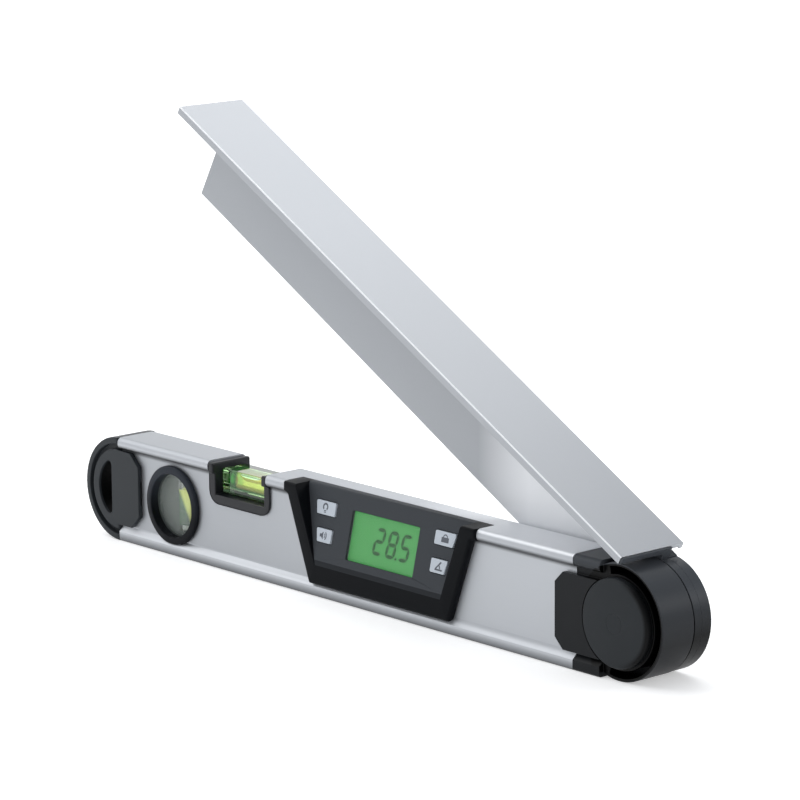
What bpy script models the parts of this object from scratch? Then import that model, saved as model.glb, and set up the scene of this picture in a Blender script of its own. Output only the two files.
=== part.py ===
"""Digital angle finder level: aluminium body, folding arm, two vials and a display console.

Frame: +X runs along the body from the end cap to the hinge, +Y from the display side to
the back, +Z up. The origin is the centre of the flat base face of the body extrusion.
Pieces of the body are modelled from its front left bottom corner, which an empty places.
Pieces of the arm are modelled folded shut, and an empty on the hinge axis opens them.
Pieces behind the display are modelled flat, and an empty leans them back with the panel.
"""
import math

import bmesh
import bpy
from mathutils import Vector

# Fits shared by all pieces
GAP = 0.0003
SLIDE_GAP = 0.0005
OVERRUN = 0.002

# Body extrusion
BODY_LENGTH = 0.370
BODY_HEIGHT = 0.060
BODY_DEPTH = 0.0275
RAIL_STEP = 0.003
WEB_WALL = 0.002
DECK_WALL = 0.0024
TOP_RAIL_HEIGHT = 0.0067
BOTTOM_RAIL_HEIGHT = 0.0085
BASE_EDGE_RADIUS = 0.0015
BEVEL_EDGE_RADIUS = 0.0008
NOSE_ROUNDNESS_SHARE = 0.96

# End cap with its hanging slot
CAP_GROOVE_INSET = 0.0036
CAP_GROOVE_WIDTH = 0.0032
CAP_GROOVE_DEPTH = 0.003
SLOT_RIM = 0.0052
SLOT_CHORD_X = 0.0062
SLOT_CORNER_RADIUS = 0.0025
CAP_TAB_REACH = 0.0182
CAP_TAB_CHAMFER = 0.0072
TAB_RAIL_GAP = 0.0008
PLUG_REACH = 0.014
PLUG_WALL = 0.002

# Plumb vial, seen through round windows
PLUMB_X = 0.0475
PLUMB_RISE_SHARE = 0.475
PLUMB_RIM_SHARE = 0.3767
PLUMB_RIM_LAP = 0.0024
PLUMB_RIM_WIDTH = 0.0046
PLUMB_RIM_PROUD = 0.0028
LENS_DEPTH = 0.0052
LENS_THICKNESS = 0.0015
LENS_SEAT = 0.0008
PLUMB_TUBE_RADIUS = 0.0060
PLUMB_TUBE_BORE = 0.0044
PLUMB_TUBE_SHARE = 0.8333
PLUMB_SOCKET_HALF = 0.0042
VIAL_PLUG_LENGTH = 0.0025

# Level vial in the notch through the top
NOTCH_X = 0.081
NOTCH_WIDTH = 0.050
NOTCH_DEPTH = 0.023
NOTCH_RADIUS = 0.0065
LINER_WALL = 0.0040
LINER_FLOOR = 0.0043
LINER_TOP_DROP = 0.0010
LINER_PROUD = 0.0010
LINER_LIP = 0.0010
BLOCK_HEIGHT = 0.0137
BLOCK_DEPTH = 0.0170
BLOCK_BACK_INSET = 0.0030
BLOCK_BORE = 0.0050
BLOCK_BORE_RISE = 0.0072
BUBBLE_LENGTH = 0.019
BUBBLE_RADIUS = 0.0040

# Display console
CONSOLE_X = 0.2234
CONSOLE_PROUD = 0.0015
CONSOLE_BASE_Z = 0.0070
CONSOLE_BASE_HALF = 0.0555
CONSOLE_SHOULDER_HALF = 0.0724
CONSOLE_HEAD_HALF = 0.0758
CONSOLE_EDGE_RADIUS = 0.0014
CONSOLE_LAP = 0.0030
CONSOLE_WALL = 0.0020
CONSOLE_HEAD_DEPTH = 0.0130
CONSOLE_BACK_STEP = 0.0065
CONSOLE_FOOT_RISE = 0.0050
CHEEK_WIDTH = 0.0095
PANEL_FOOT_SHARE = 0.35
PANEL_FOOT_SETBACK = 0.0004
PANEL_BEVEL_HEIGHT = 0.0030
PANEL_LEAN = math.radians(13.0)
HEAD_CHAMFER = 0.0008

# Display, buttons and board, in the panel's own plane; shares are of the panel's height
DISPLAY_WIDTH = 0.0532
DISPLAY_HEIGHT_SHARE = 0.667
DISPLAY_RISE_SHARE = 0.105
DISPLAY_RECESS = 0.0008
DISPLAY_CORNER = 0.0010
MODULE_BORDER = 0.0030
MODULE_THICKNESS = 0.0033
BUTTON_INNER = 0.0395
BUTTON_OUTER = 0.0481
BUTTON_SLOPE = 0.23
BUTTON_HEIGHT_SHARE = 0.185
BUTTON_ROW_SHARES = (0.2525, 0.62)
BUTTON_PROUD = 0.0008
BUTTON_FLANGE = 0.0008
BUTTON_CORNER = 0.0008
BUTTON_TRAVEL = 0.0004
BUTTON_STOP_GAP = 0.0001
SWITCH_SIZE = 0.0060
SWITCH_BODY_HEIGHT = 0.0011
BOARD_HALF_WIDTH = 0.0530
BOARD_RISE_SHARE = 0.05
BOARD_HEIGHT_SHARE = 0.85
BOARD_THICKNESS = 0.0012
BOARD_SCREW_X = 0.0460
BOARD_SCREW_SHARE = 0.5325
BOARD_BOSS_RADIUS = 0.0021
BUZZER_RADIUS = 0.0055
BUZZER_HEIGHT = 0.0028
BUZZER_X = 0.0370
BUZZER_RISE_SHARE = 0.45

# Battery tray, cells and door at the back
CELL_RADIUS = 0.00525
CELL_LENGTH = 0.0440
CELL_TIP_RADIUS = 0.0019
CELL_TIP_LENGTH = 0.0010
CELL_PITCH = 0.0114
CELL_PLAY = 0.0028
CONTACT_THICKNESS = 0.0006
CONTACT_HEIGHT = 0.0080
SPRING_RADIUS = 0.0024
TRAY_WALL = 0.0010
TRAY_RIM = 0.0020
TRAY_RIM_THICKNESS = 0.0008
DOOR_THICKNESS = 0.0013
DOOR_CORNER = 0.0020
DOOR_GRIP_WIDTH = 0.0160
DOOR_GRIP_HEIGHT = 0.0030
DOOR_GRIP_DEPTH = 0.0006
DOOR_GRIP_COUNT = 3
DOOR_GRIP_PITCH = 0.0050

# Hinge housing on the body
HINGE_TAB_REACH = 0.0130
HINGE_TAB_CHAMFER = 0.0058
HINGE_TAB_TOP_GAP = 0.0037
BAND_END = 0.0110
HOUSING_BACK = 0.0250
COVER_RADIUS_SHARE = 0.7667
COVER_PROUD = 0.0008
COVER_CHAMFER = 0.0010
COVER_RING_WALL = 0.0014
COVER_RING_DEPTH = 0.0025
COVER_DIMPLE_RADIUS = 0.0050
COVER_DIMPLE_WIDTH = 0.0004
COVER_DIMPLE_DEPTH = 0.0003
GROOVE_LAND = 0.0014
GROOVE_RIM = 0.0016
GROOVE_DEPTH = 0.0120
GROOVE_HALF_ANGLE = math.radians(104.0)
COVER_SEAT_WIDTH = 0.0020
POCKET_DEPTH = 0.0120
CABLE_SLOT_HEIGHT = 0.0100
CABLE_SLOT_DEPTH = 0.0026

# Pivot
SHAFT_RADIUS = 0.0050
SHAFT_CLEARANCE = 0.00015
SHAFT_HEAD_RADIUS = 0.0120
SHAFT_HEAD_THICKNESS = 0.0020
BUSH_WALL = 0.0036
WASHER_RADIUS_SHARE = 0.6
WASHER_THICKNESS = 0.0009
NUT_RADIUS = 0.0080
NUT_THICKNESS = 0.0030
ENCODER_INSET = 0.0025
ENCODER_THICKNESS = 0.0015
ROTOR_INSET = 0.0015
ROTOR_THICKNESS = 0.0012
RIBBON_THICKNESS = 0.0008
RIBBON_WIDTH = 0.0080
RIBBON_OVERLAP = 0.0080

# Arm
REST_ANGLE = math.radians(29.1)
OPEN_ANGLE = math.radians(220.0)
ARM_LENGTH = 0.400
ARM_START = 0.0104
ARM_CLEARANCE = 0.0010
FLANGE_WIDTH = 0.0440
FLANGE_OVERHANG = 0.0042
FLANGE_LIP_HEIGHT = 0.00435
FLANGE_THICKNESS = 0.00235
FLANGE_LIP_WIDTH = 0.0024
REAR_LIP_HEIGHT = 0.0034
REAR_LIP_WIDTH = 0.0022
ARM_EDGE_RADIUS = 0.0006
ARM_WEB_THICKNESS = 0.0026
ARM_WEB_DROP_SHARE = 0.76
ARM_WEB_SHORT = 0.0060

# Arm hub and its cover
HUB_RUN_GAP = 0.0009
HUB_END_WALL = 0.0009
HUB_NECK_LENGTH = 0.0134
HUB_NECK_DROP = 0.0080
BRIDGE_LENGTH = 0.0260
COVER_DEPTH = 0.0065
COVER_LOBE_REACH = 0.0460
COVER_LOBE_RADIUS = 0.0040
COVER_LOBE_DROP = 0.0040
HUB_SCREW_CIRCLE_SHARE = 0.7167
HUB_SCREW_ANGLES = (math.radians(-62.0), math.radians(0.0), math.radians(62.0))
WEB_SCREW_REACH = 0.0390
WEB_SCREW_RISE_SHARE = 0.526

# Screws
SCREW_RADIUS = 0.0012
SCREW_HEAD_RADIUS = 0.0023
SCREW_HEAD_HEIGHT = 0.0014
SCREW_SOCKET_RADIUS = 0.0011
SCREW_SOCKET_DEPTH = 0.0008
SCREW_LENGTH = 0.0060
END_SCREW_INSET = 0.0080
END_SCREW_SPREAD_SHARE = 0.2167

# Facets on turned shapes
LARGE_STEPS = 56
MEDIUM_STEPS = 32
SMALL_STEPS = 12
CORNER_STEPS = 4
HEX_SIDES = 6
SHADE_ANGLE = math.radians(35.0)
MERGE_DISTANCE = 1e-7

# Places that follow from the sizes above
HINGE_RADIUS = BODY_HEIGHT / 2
HINGE_X = BODY_LENGTH + HINGE_RADIUS
HINGE_Z = BODY_HEIGHT / 2
FRONT_WEB = RAIL_STEP
BACK_WEB = BODY_DEPTH - RAIL_STEP
CAVITY_FRONT = FRONT_WEB + WEB_WALL
CAVITY_BACK = BACK_WEB - WEB_WALL
MID_DEPTH = BODY_DEPTH / 2
SHOULDER_Z = BODY_HEIGHT - TOP_RAIL_HEIGHT
TRAY_Z = BODY_HEIGHT / 2
END_SCREW_SPREAD = BODY_HEIGHT * END_SCREW_SPREAD_SHARE
PLUMB_Z = BODY_HEIGHT * PLUMB_RISE_SHARE
PLUMB_RIM_RADIUS = BODY_HEIGHT * PLUMB_RIM_SHARE
PLUMB_SLEEVE_RADIUS = PLUMB_RIM_RADIUS - PLUMB_RIM_LAP
PLUMB_BORE_RADIUS = PLUMB_RIM_RADIUS - PLUMB_RIM_WIDTH
PLUMB_TUBE_LENGTH = 2 * PLUMB_BORE_RADIUS * PLUMB_TUBE_SHARE
PANEL_FOOT_Z = BODY_HEIGHT * PANEL_FOOT_SHARE
PANEL_HEIGHT = (BODY_HEIGHT - PANEL_FOOT_Z) / math.cos(PANEL_LEAN)
DISPLAY_HEIGHT = PANEL_HEIGHT * DISPLAY_HEIGHT_SHARE
DISPLAY_RISE = PANEL_HEIGHT * DISPLAY_RISE_SHARE
BUTTON_HEIGHT = PANEL_HEIGHT * BUTTON_HEIGHT_SHARE
BUTTON_ROW_RISES = [PANEL_HEIGHT * share for share in BUTTON_ROW_SHARES]
BOARD_RISE = PANEL_HEIGHT * BOARD_RISE_SHARE
BOARD_HEIGHT = PANEL_HEIGHT * BOARD_HEIGHT_SHARE
BOARD_SCREW_RISE = PANEL_HEIGHT * BOARD_SCREW_SHARE
BUZZER_RISE = PANEL_HEIGHT * BUZZER_RISE_SHARE
COVER_RADIUS = HINGE_RADIUS * COVER_RADIUS_SHARE
GROOVE_INNER_RADIUS = COVER_RADIUS + GROOVE_LAND
GROOVE_OUTER_RADIUS = HINGE_RADIUS - GROOVE_RIM
POCKET_RADIUS = COVER_RADIUS - COVER_SEAT_WIDTH
COVER_RING_RADIUS = POCKET_RADIUS - GAP - GAP
ENCODER_RADIUS = POCKET_RADIUS - ENCODER_INSET
ROTOR_RADIUS = ENCODER_RADIUS - ROTOR_INSET
WASHER_RADIUS = HINGE_RADIUS * WASHER_RADIUS_SHARE
HUB_RADIUS = HINGE_RADIUS - GAP
HUB_SCREW_CIRCLE = HINGE_RADIUS * HUB_SCREW_CIRCLE_SHARE
ARM_WEB_DROP = HINGE_RADIUS * ARM_WEB_DROP_SHARE
WEB_SCREW_RISE = ARM_WEB_DROP * WEB_SCREW_RISE_SHARE
PANEL_FOOT_Y = -CONSOLE_PROUD + PANEL_FOOT_SETBACK
PANEL_BACK = -CONSOLE_WALL
MODULE_TOP = PANEL_BACK - GAP
BOARD_TOP = MODULE_TOP - MODULE_THICKNESS - SLIDE_GAP
BOARD_BOTTOM = BOARD_TOP - BOARD_THICKNESS
ARM_WEB_FRONT = BODY_DEPTH + SLIDE_GAP
ARM_WEB_BACK = ARM_WEB_FRONT + ARM_WEB_THICKNESS
FLANGE_BOTTOM = HINGE_RADIUS + ARM_CLEARANCE
FLANGE_TOP = FLANGE_BOTTOM + FLANGE_LIP_HEIGHT
FLANGE_PLATE = FLANGE_TOP - FLANGE_THICKNESS
FLANGE_FRONT = -FLANGE_OVERHANG
FLANGE_BACK = FLANGE_FRONT + FLANGE_WIDTH
HUB_FRONT = HOUSING_BACK + HUB_RUN_GAP
HUB_BACK = ARM_WEB_BACK
HUB_START = ARM_START - GAP - HUB_END_WALL
COVER_FRONT = HUB_BACK + GAP
COVER_BACK = COVER_FRONT + COVER_DEPTH

# Materials: colour, roughness, metallic
FINISHES = {
    "aluminium": ((0.66, 0.68, 0.71), 0.32, 1.0),
    "dark_plastic": ((0.045, 0.05, 0.056), 0.45, 0.0),
    "black_plastic": ((0.012, 0.013, 0.015), 0.4, 0.0),
    "grey_plastic": ((0.075, 0.08, 0.088), 0.4, 0.0),
    "button_plastic": ((0.72, 0.75, 0.79), 0.35, 0.0),
    "acrylic": ((0.86, 0.93, 0.88), 0.06, 0.0),
    "vial_liquid": ((0.36, 0.78, 0.12), 0.1, 0.0),
    "display": ((0.13, 0.52, 0.19), 0.3, 0.0),
    "circuit_board": ((0.02, 0.16, 0.07), 0.5, 0.0),
    "steel": ((0.55, 0.56, 0.58), 0.3, 1.0),
    "brass": ((0.72, 0.55, 0.25), 0.3, 1.0),
    "cell_sleeve": ((0.08, 0.1, 0.16), 0.35, 0.0),
    "spring_steel": ((0.62, 0.62, 0.6), 0.25, 1.0),
}


def clear_scene():
    """Remove every object and mesh of the open file."""
    for item in list(bpy.data.objects):
        bpy.data.objects.remove(item, do_unlink=True)
    for mesh in list(bpy.data.meshes):
        bpy.data.meshes.remove(mesh)


def finish(name):
    """Material with a Principled shader, made once for each name."""
    material = bpy.data.materials.get(name)
    if material is None:
        colour, roughness, metallic = FINISHES[name]
        material = bpy.data.materials.new(name)
        material.use_nodes = True
        shader = material.node_tree.nodes["Principled BSDF"]
        shader.inputs["Base Color"].default_value = (*colour, 1.0)
        shader.inputs["Roughness"].default_value = roughness
        shader.inputs["Metallic"].default_value = metallic
    return material


def frame_empty(name, place, turn=(0.0, 0.0, 0.0), parent=None):
    """Empty that places the pieces parented to it."""
    empty = bpy.data.objects.new(name, None)
    bpy.context.scene.collection.objects.link(empty)
    empty.location = place
    empty.rotation_euler = turn
    empty.parent = parent
    return empty


def solid(name, mesh_data, parent, surface):
    """Named object from a closed bmesh, its faces turned outwards."""
    bmesh.ops.recalc_face_normals(mesh_data, faces=mesh_data.faces)
    mesh = bpy.data.meshes.new(name)
    mesh_data.to_mesh(mesh)
    mesh_data.free()
    piece = bpy.data.objects.new(name, mesh)
    bpy.context.scene.collection.objects.link(piece)
    piece.parent = parent
    mesh.materials.append(finish(surface))
    mesh.shade_smooth()
    mesh.set_sharp_from_angle(angle=SHADE_ANGLE)
    return piece


def guide(piece):
    """Mark an object as a cutter or a joined part, which isn't a piece by itself."""
    piece.hide_render = True
    piece.display_type = "WIRE"
    return piece


def combine(piece, others, operation):
    """Boolean of a piece with a group of guide objects, all at once."""
    group = bpy.data.collections.new(f"{piece.name}_{operation.lower()}")
    for other in others:
        group.objects.link(guide(other))
    step = piece.modifiers.new(operation.lower(), "BOOLEAN")
    step.operation = operation
    step.operand_type = "COLLECTION"
    step.collection = group
    return piece


def cut(piece, *cutters):
    """Take the cutters out of the piece."""
    return combine(piece, cutters, "DIFFERENCE")


def join(piece, *others):
    """Fuse the others into the piece."""
    return combine(piece, others, "UNION")


def arc(centre, radius, start, end, steps):
    """Points along an arc, both ends included; angles in radians."""
    points = []
    for index in range(steps + 1):
        angle = start + (end - start) * index / steps
        points.append((centre[0] + radius * math.cos(angle), centre[1] + radius * math.sin(angle)))
    return points


def circle(centre, radius, steps):
    """Closed outline of a circle."""
    return arc(centre, radius, 0.0, 2 * math.pi * (steps - 1) / steps, steps - 1)


def rounded(corners, steps=CORNER_STEPS):
    """Outline from (u, v, radius) corners, each corner filleted with its radius."""
    outline = []
    count = len(corners)
    for index in range(count):
        before = Vector(corners[index - 1][:2])
        here = Vector(corners[index][:2])
        after = Vector(corners[(index + 1) % count][:2])
        radius = corners[index][2]
        if radius <= 0.0:
            outline.append(tuple(here))
            continue
        back = (before - here).normalized()
        forward = (after - here).normalized()
        half_angle = back.angle(forward) / 2
        setback = radius / math.tan(half_angle)
        centre = here + (back + forward).normalized() * (radius / math.sin(half_angle))
        first = here + back * setback - centre
        last = here + forward * setback - centre
        sweep = first.angle_signed(last)
        for step in range(steps + 1):
            turn = -sweep * step / steps
            outline.append((
                centre.x + first.x * math.cos(turn) - first.y * math.sin(turn),
                centre.y + first.x * math.sin(turn) + first.y * math.cos(turn),
            ))
    return outline


def rectangle(low, high, radius=0.0):
    """Rounded rectangle between two corners."""
    return rounded([
        (low[0], low[1], radius),
        (high[0], low[1], radius),
        (high[0], high[1], radius),
        (low[0], high[1], radius),
    ])


AXES = {
    "X": lambda u, v, along: (along, u, v),
    "Y": lambda u, v, along: (u, along, v),
    "Z": lambda u, v, along: (u, v, along),
}


def prism(name, outline, low, high, axis, parent, surface="black_plastic", holes=(), soft=None):
    """Outline extruded along an axis, with any holes running through.

    soft is (radius, ends): the outline's edges at those ends, 0 low and 1 high, are rounded.
    """
    mesh_data = bmesh.new()
    place = AXES[axis]
    ends = ([], [])
    for loop in (outline, *holes):
        rings = []
        for end, along in zip(ends, (low, high)):
            ring = [mesh_data.verts.new(place(u, v, along)) for u, v in loop]
            for index in range(len(ring)):
                end.append(mesh_data.edges.new((ring[index - 1], ring[index])))
            rings.append(ring)
        for index in range(len(loop)):
            mesh_data.faces.new((
                rings[0][index - 1], rings[0][index], rings[1][index], rings[1][index - 1],
            ))
    for end in ends:
        if holes:
            bmesh.ops.triangle_fill(mesh_data, use_beauty=True, edges=end)
        else:
            bmesh.ops.contextual_create(mesh_data, geom=end)
    if soft:
        radius, soft_ends = soft
        edges = [edge for index in soft_ends for edge in ends[index]]
        bmesh.ops.recalc_face_normals(mesh_data, faces=mesh_data.faces)
        bmesh.ops.bevel(mesh_data, geom=edges, offset=radius, segments=2, profile=0.5, affect="EDGES")
    return solid(name, mesh_data, parent, surface)


def box(name, low, high, parent, surface="black_plastic"):
    """Plain block between two corners."""
    outline = [(low[0], low[1]), (high[0], low[1]), (high[0], high[1]), (low[0], high[1])]
    return prism(name, outline, low[2], high[2], "Z", parent, surface)


def turned(name, profile, centre, axis, parent, surface, steps=MEDIUM_STEPS):
    """Profile of (radius, along) points spun about an axis through the centre.

    A profile that starts and ends on the axis is open; any other is a closed loop.
    """
    mesh_data = bmesh.new()
    place = AXES[axis]
    origin = Vector(centre)
    verts = [mesh_data.verts.new(origin + Vector(place(radius, 0.0, along))) for radius, along in profile]
    edges = [mesh_data.edges.new(pair) for pair in zip(verts, verts[1:])]
    if profile[0][0] > 0.0:
        edges.append(mesh_data.edges.new((verts[-1], verts[0])))
    bmesh.ops.spin(
        mesh_data, geom=edges, cent=origin, axis=Vector(place(0.0, 0.0, 1.0)),
        angle=2 * math.pi, steps=steps, use_merge=True,
    )
    bmesh.ops.remove_doubles(mesh_data, verts=mesh_data.verts, dist=MERGE_DISTANCE)
    return solid(name, mesh_data, parent, surface)


def cylinder(name, centre, radius, low, high, axis, parent, surface="black_plastic", steps=SMALL_STEPS):
    """Straight round bar between two heights along an axis."""
    profile = [(0.0, low), (radius, low), (radius, high), (0.0, high)]
    return turned(name, profile, centre, axis, parent, surface, steps)


def ring(name, centre, inner, outer, low, high, axis, parent, surface, steps=MEDIUM_STEPS):
    """Flat ring or tube between two heights along an axis."""
    profile = [(inner, low), (outer, low), (outer, high), (inner, high)]
    return turned(name, profile, centre, axis, parent, surface, steps)


def screw(name, centre, seat, direction, axis, parent, length=SCREW_LENGTH):
    """Socket screw whose head sits on the seat and whose shank runs against direction."""
    top = seat + direction * SCREW_HEAD_HEIGHT
    profile = [
        (0.0, top - direction * SCREW_SOCKET_DEPTH),
        (SCREW_SOCKET_RADIUS, top - direction * SCREW_SOCKET_DEPTH),
        (SCREW_SOCKET_RADIUS, top),
        (SCREW_HEAD_RADIUS, top),
        (SCREW_HEAD_RADIUS, seat),
        (SCREW_RADIUS, seat),
        (SCREW_RADIUS, seat - direction * length),
        (0.0, seat - direction * length),
    ]
    return turned(name, profile, centre, axis, parent, "steel", SMALL_STEPS)


def screw_hole(name, centre, low, high, axis, parent):
    """Cutter for a screw's shank."""
    return cylinder(name, centre, SCREW_RADIUS + GAP, low, high, axis, parent)


def rail_section():
    """Cross-section (y, z) of the body: rails at top and bottom, webs stepped in between."""
    nose = RAIL_STEP * NOSE_ROUNDNESS_SHARE
    front = [
        (0.0, 0.0, BASE_EDGE_RADIUS),
        (0.0, BOTTOM_RAIL_HEIGHT - RAIL_STEP, BEVEL_EDGE_RADIUS),
        (FRONT_WEB, BOTTOM_RAIL_HEIGHT, 0.0),
        (FRONT_WEB, SHOULDER_Z, 0.0),
        (0.0, SHOULDER_Z, nose),
        (0.0, BODY_HEIGHT, nose),
    ]
    back = [(BODY_DEPTH - y, z, radius) for y, z, radius in reversed(front)]
    return rounded(front + back)


def console_half(z):
    """Half width of the console's slanted outline at a height."""
    rise = (z - CONSOLE_BASE_Z) / (SHOULDER_Z - CONSOLE_BASE_Z)
    return CONSOLE_BASE_HALF + (CONSOLE_SHOULDER_HALF - CONSOLE_BASE_HALF) * rise


def console_outline(inset, low, high):
    """Slanted outline (x, z) of the console, its sides moved in by the inset."""
    half_low = console_half(low) - inset
    half_high = console_half(high) - inset
    return [
        (CONSOLE_X - half_low, low), (CONSOLE_X + half_low, low),
        (CONSOLE_X + half_high, high), (CONSOLE_X - half_high, high),
    ]


def console_shape():
    """Front outline (x, z) of the console: slanted sides under a wider head."""
    step_z = SHOULDER_Z + CONSOLE_PROUD
    right = [
        (CONSOLE_BASE_HALF, CONSOLE_BASE_Z, CONSOLE_EDGE_RADIUS),
        (CONSOLE_SHOULDER_HALF, SHOULDER_Z, 0.0),
        (CONSOLE_HEAD_HALF, step_z, 0.0),
        (CONSOLE_HEAD_HALF, BODY_HEIGHT, 0.0),
    ]
    left = [(-half, z, radius) for half, z, radius in reversed(right)]
    return rounded([(CONSOLE_X + half, z, radius) for half, z, radius in right + left], 2)


def panel_y(z):
    """Depth of the leaning panel's front face at a height."""
    return PANEL_FOOT_Y + (z - PANEL_FOOT_Z) * math.tan(PANEL_LEAN)


def notch_outline(grow, top):
    """U-shaped outline (x, z) of the level vial's notch, moved out by grow."""
    floor = BODY_HEIGHT - NOTCH_DEPTH - grow
    left = NOTCH_X - grow
    right = NOTCH_X + NOTCH_WIDTH + grow
    radius = NOTCH_RADIUS + grow
    return rounded([(left, top, 0.0), (left, floor, radius), (right, floor, radius), (right, top, 0.0)])


def tray_box(grow):
    """Low and high (x, z) corners of the battery tray's inside, moved out by grow."""
    half_length = CELL_LENGTH / 2 + CELL_PLAY + CONTACT_THICKNESS
    half_height = CELL_PITCH / 2 + CELL_RADIUS + GAP
    return (
        (CONSOLE_X - half_length - grow, TRAY_Z - half_height - grow),
        (CONSOLE_X + half_length + grow, TRAY_Z + half_height + grow),
    )


def end_screw_places():
    """(x, z) places of the screws that hold the end cap and the hinge housing."""
    return {
        "cap_screw": [(END_SCREW_INSET, HINGE_Z + side * END_SCREW_SPREAD) for side in (-1, 1)],
        "housing_screw": [
            (BODY_LENGTH - END_SCREW_INSET, HINGE_Z + side * END_SCREW_SPREAD) for side in (-1, 1)
        ],
    }


def make_body_extrusion(body):
    """Hollow aluminium body, machined for the vials, the console and the batteries."""
    hollow = rectangle((CAVITY_FRONT, DECK_WALL), (CAVITY_BACK, BODY_HEIGHT - DECK_WALL))
    extrusion = prism(
        "body_extrusion", rail_section(), 0.0, BODY_LENGTH, "X", body, "aluminium", holes=[hollow],
    )
    notch = prism(
        "notch_cutter", notch_outline(0.0, BODY_HEIGHT + OVERRUN), -OVERRUN, BODY_DEPTH + OVERRUN, "Y", body,
    )
    window = cylinder(
        "plumb_cutter", (PLUMB_X, 0.0, PLUMB_Z), PLUMB_SLEEVE_RADIUS + GAP,
        -OVERRUN, BODY_DEPTH + OVERRUN, "Y", body, steps=LARGE_STEPS,
    )
    opening_low = CONSOLE_BASE_Z + CONSOLE_FOOT_RISE
    opening = prism(
        "console_cutter", console_outline(CONSOLE_LAP, opening_low, BODY_HEIGHT + OVERRUN),
        -OVERRUN, CAVITY_FRONT + OVERRUN, "Y", body,
    )
    head = box(
        "console_head_cutter",
        (CONSOLE_X - CONSOLE_HEAD_HALF - GAP, -OVERRUN, SHOULDER_Z - GAP),
        (CONSOLE_X + CONSOLE_HEAD_HALF + GAP, CONSOLE_HEAD_DEPTH + GAP, BODY_HEIGHT + OVERRUN),
        body,
    )
    low, high = tray_box(TRAY_WALL + GAP)
    battery = prism(
        "battery_cutter", rectangle(low, high), CAVITY_BACK - OVERRUN, BODY_DEPTH + OVERRUN, "Y", body,
    )
    holes = [
        screw_hole(f"{name}_web_hole_{index}", (x, 0.0, z), CAVITY_BACK - OVERRUN, BODY_DEPTH, "Y", body)
        for name, places in end_screw_places().items() for index, (x, z) in enumerate(places)
    ]
    return cut(extrusion, notch, window, opening, head, battery, *holes)


def plug_solid(name, low_x, high_x, open_x, body):
    """Thin-walled plug that fits inside the body's hollow, cored from its open end."""
    low = (CAVITY_FRONT + GAP, DECK_WALL + GAP)
    high = (CAVITY_BACK - GAP, BODY_HEIGHT - DECK_WALL - GAP)
    plug = prism(name, rectangle(low, high), low_x, high_x, "X", body)
    core_low = (low[0] + PLUG_WALL, low[1] + PLUG_WALL)
    core_high = (high[0] - PLUG_WALL, high[1] - PLUG_WALL)
    core = prism(name + "_core", rectangle(core_low, core_high), *open_x, "X", body)
    return plug, core


def plug_holes(name, body):
    """Cutters for the screws of that name, through the back wall of their plug."""
    low = CAVITY_BACK - PLUG_WALL - OVERRUN
    return [
        screw_hole(f"{name}_plug_hole_{index}", (x, 0.0, z), low, BODY_DEPTH, "Y", body)
        for index, (x, z) in enumerate(end_screw_places()[name])
    ]


def make_end_cap(body):
    """Round end cap: rim, groove, hanging slot, and a tab reaching onto the web."""
    centre = (-GAP, HINGE_Z)
    outline = arc(centre, HINGE_RADIUS, math.pi / 2, 3 * math.pi / 2, LARGE_STEPS // 2)
    cap = prism(
        "end_cap", outline, 0.0, BODY_DEPTH, "Y", body, "dark_plastic", soft=(BEVEL_EDGE_RADIUS, (0, 1)),
    )
    tab_low = BOTTOM_RAIL_HEIGHT + TAB_RAIL_GAP
    tab_high = SHOULDER_Z - TAB_RAIL_GAP
    tab = prism(
        "cap_tab",
        [
            (-HINGE_RADIUS / 2, tab_low), (CAP_TAB_REACH - CAP_TAB_CHAMFER, tab_low),
            (CAP_TAB_REACH, tab_low + CAP_TAB_CHAMFER), (CAP_TAB_REACH, tab_high - CAP_TAB_CHAMFER),
            (CAP_TAB_REACH - CAP_TAB_CHAMFER, tab_high), (-HINGE_RADIUS / 2, tab_high),
        ],
        0.0, FRONT_WEB - GAP, "Y", body,
    )
    plug, core = plug_solid(
        "cap_plug", -PLUG_WALL, PLUG_REACH, (-GAP, PLUG_REACH + OVERRUN), body,
    )
    groove_outer = HINGE_RADIUS - CAP_GROOVE_INSET
    groove_inner = groove_outer - CAP_GROOVE_WIDTH
    half_turn = LARGE_STEPS // 2
    groove_line = arc(centre, groove_outer, math.pi / 2, 3 * math.pi / 2, half_turn)
    groove_line += arc(centre, groove_inner, 3 * math.pi / 2, math.pi / 2, half_turn)
    groove = prism("cap_groove", groove_line, -OVERRUN, CAP_GROOVE_DEPTH, "Y", body)
    slot_radius = groove_inner - SLOT_RIM
    slot = prism("cap_slot", slot_outline(centre, slot_radius), -OVERRUN, BODY_DEPTH + OVERRUN, "Y", body)
    join(cap, tab, plug)
    return cut(cap, core, groove, slot, *plug_holes("cap_screw", body))


def slot_outline(centre, radius):
    """Hanging slot (x, z): a slice of a circle whose two corners are rounded."""
    lobe = SLOT_CORNER_RADIUS
    lobe_x = centre[0] - SLOT_CHORD_X - lobe
    lobe_reach = radius - lobe
    lobe_rise = math.sqrt(lobe_reach ** 2 - (SLOT_CHORD_X + lobe) ** 2)
    tangent = math.atan2(lobe_rise, -(SLOT_CHORD_X + lobe))
    top = (lobe_x, centre[1] + lobe_rise)
    bottom = (lobe_x, centre[1] - lobe_rise)
    outline = arc(top, lobe, 0.0, tangent, CORNER_STEPS)
    outline += arc(centre, radius, tangent, 2 * math.pi - tangent, MEDIUM_STEPS // 2)[1:-1]
    outline += arc(bottom, lobe, -tangent, 0.0, CORNER_STEPS)
    return outline


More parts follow.
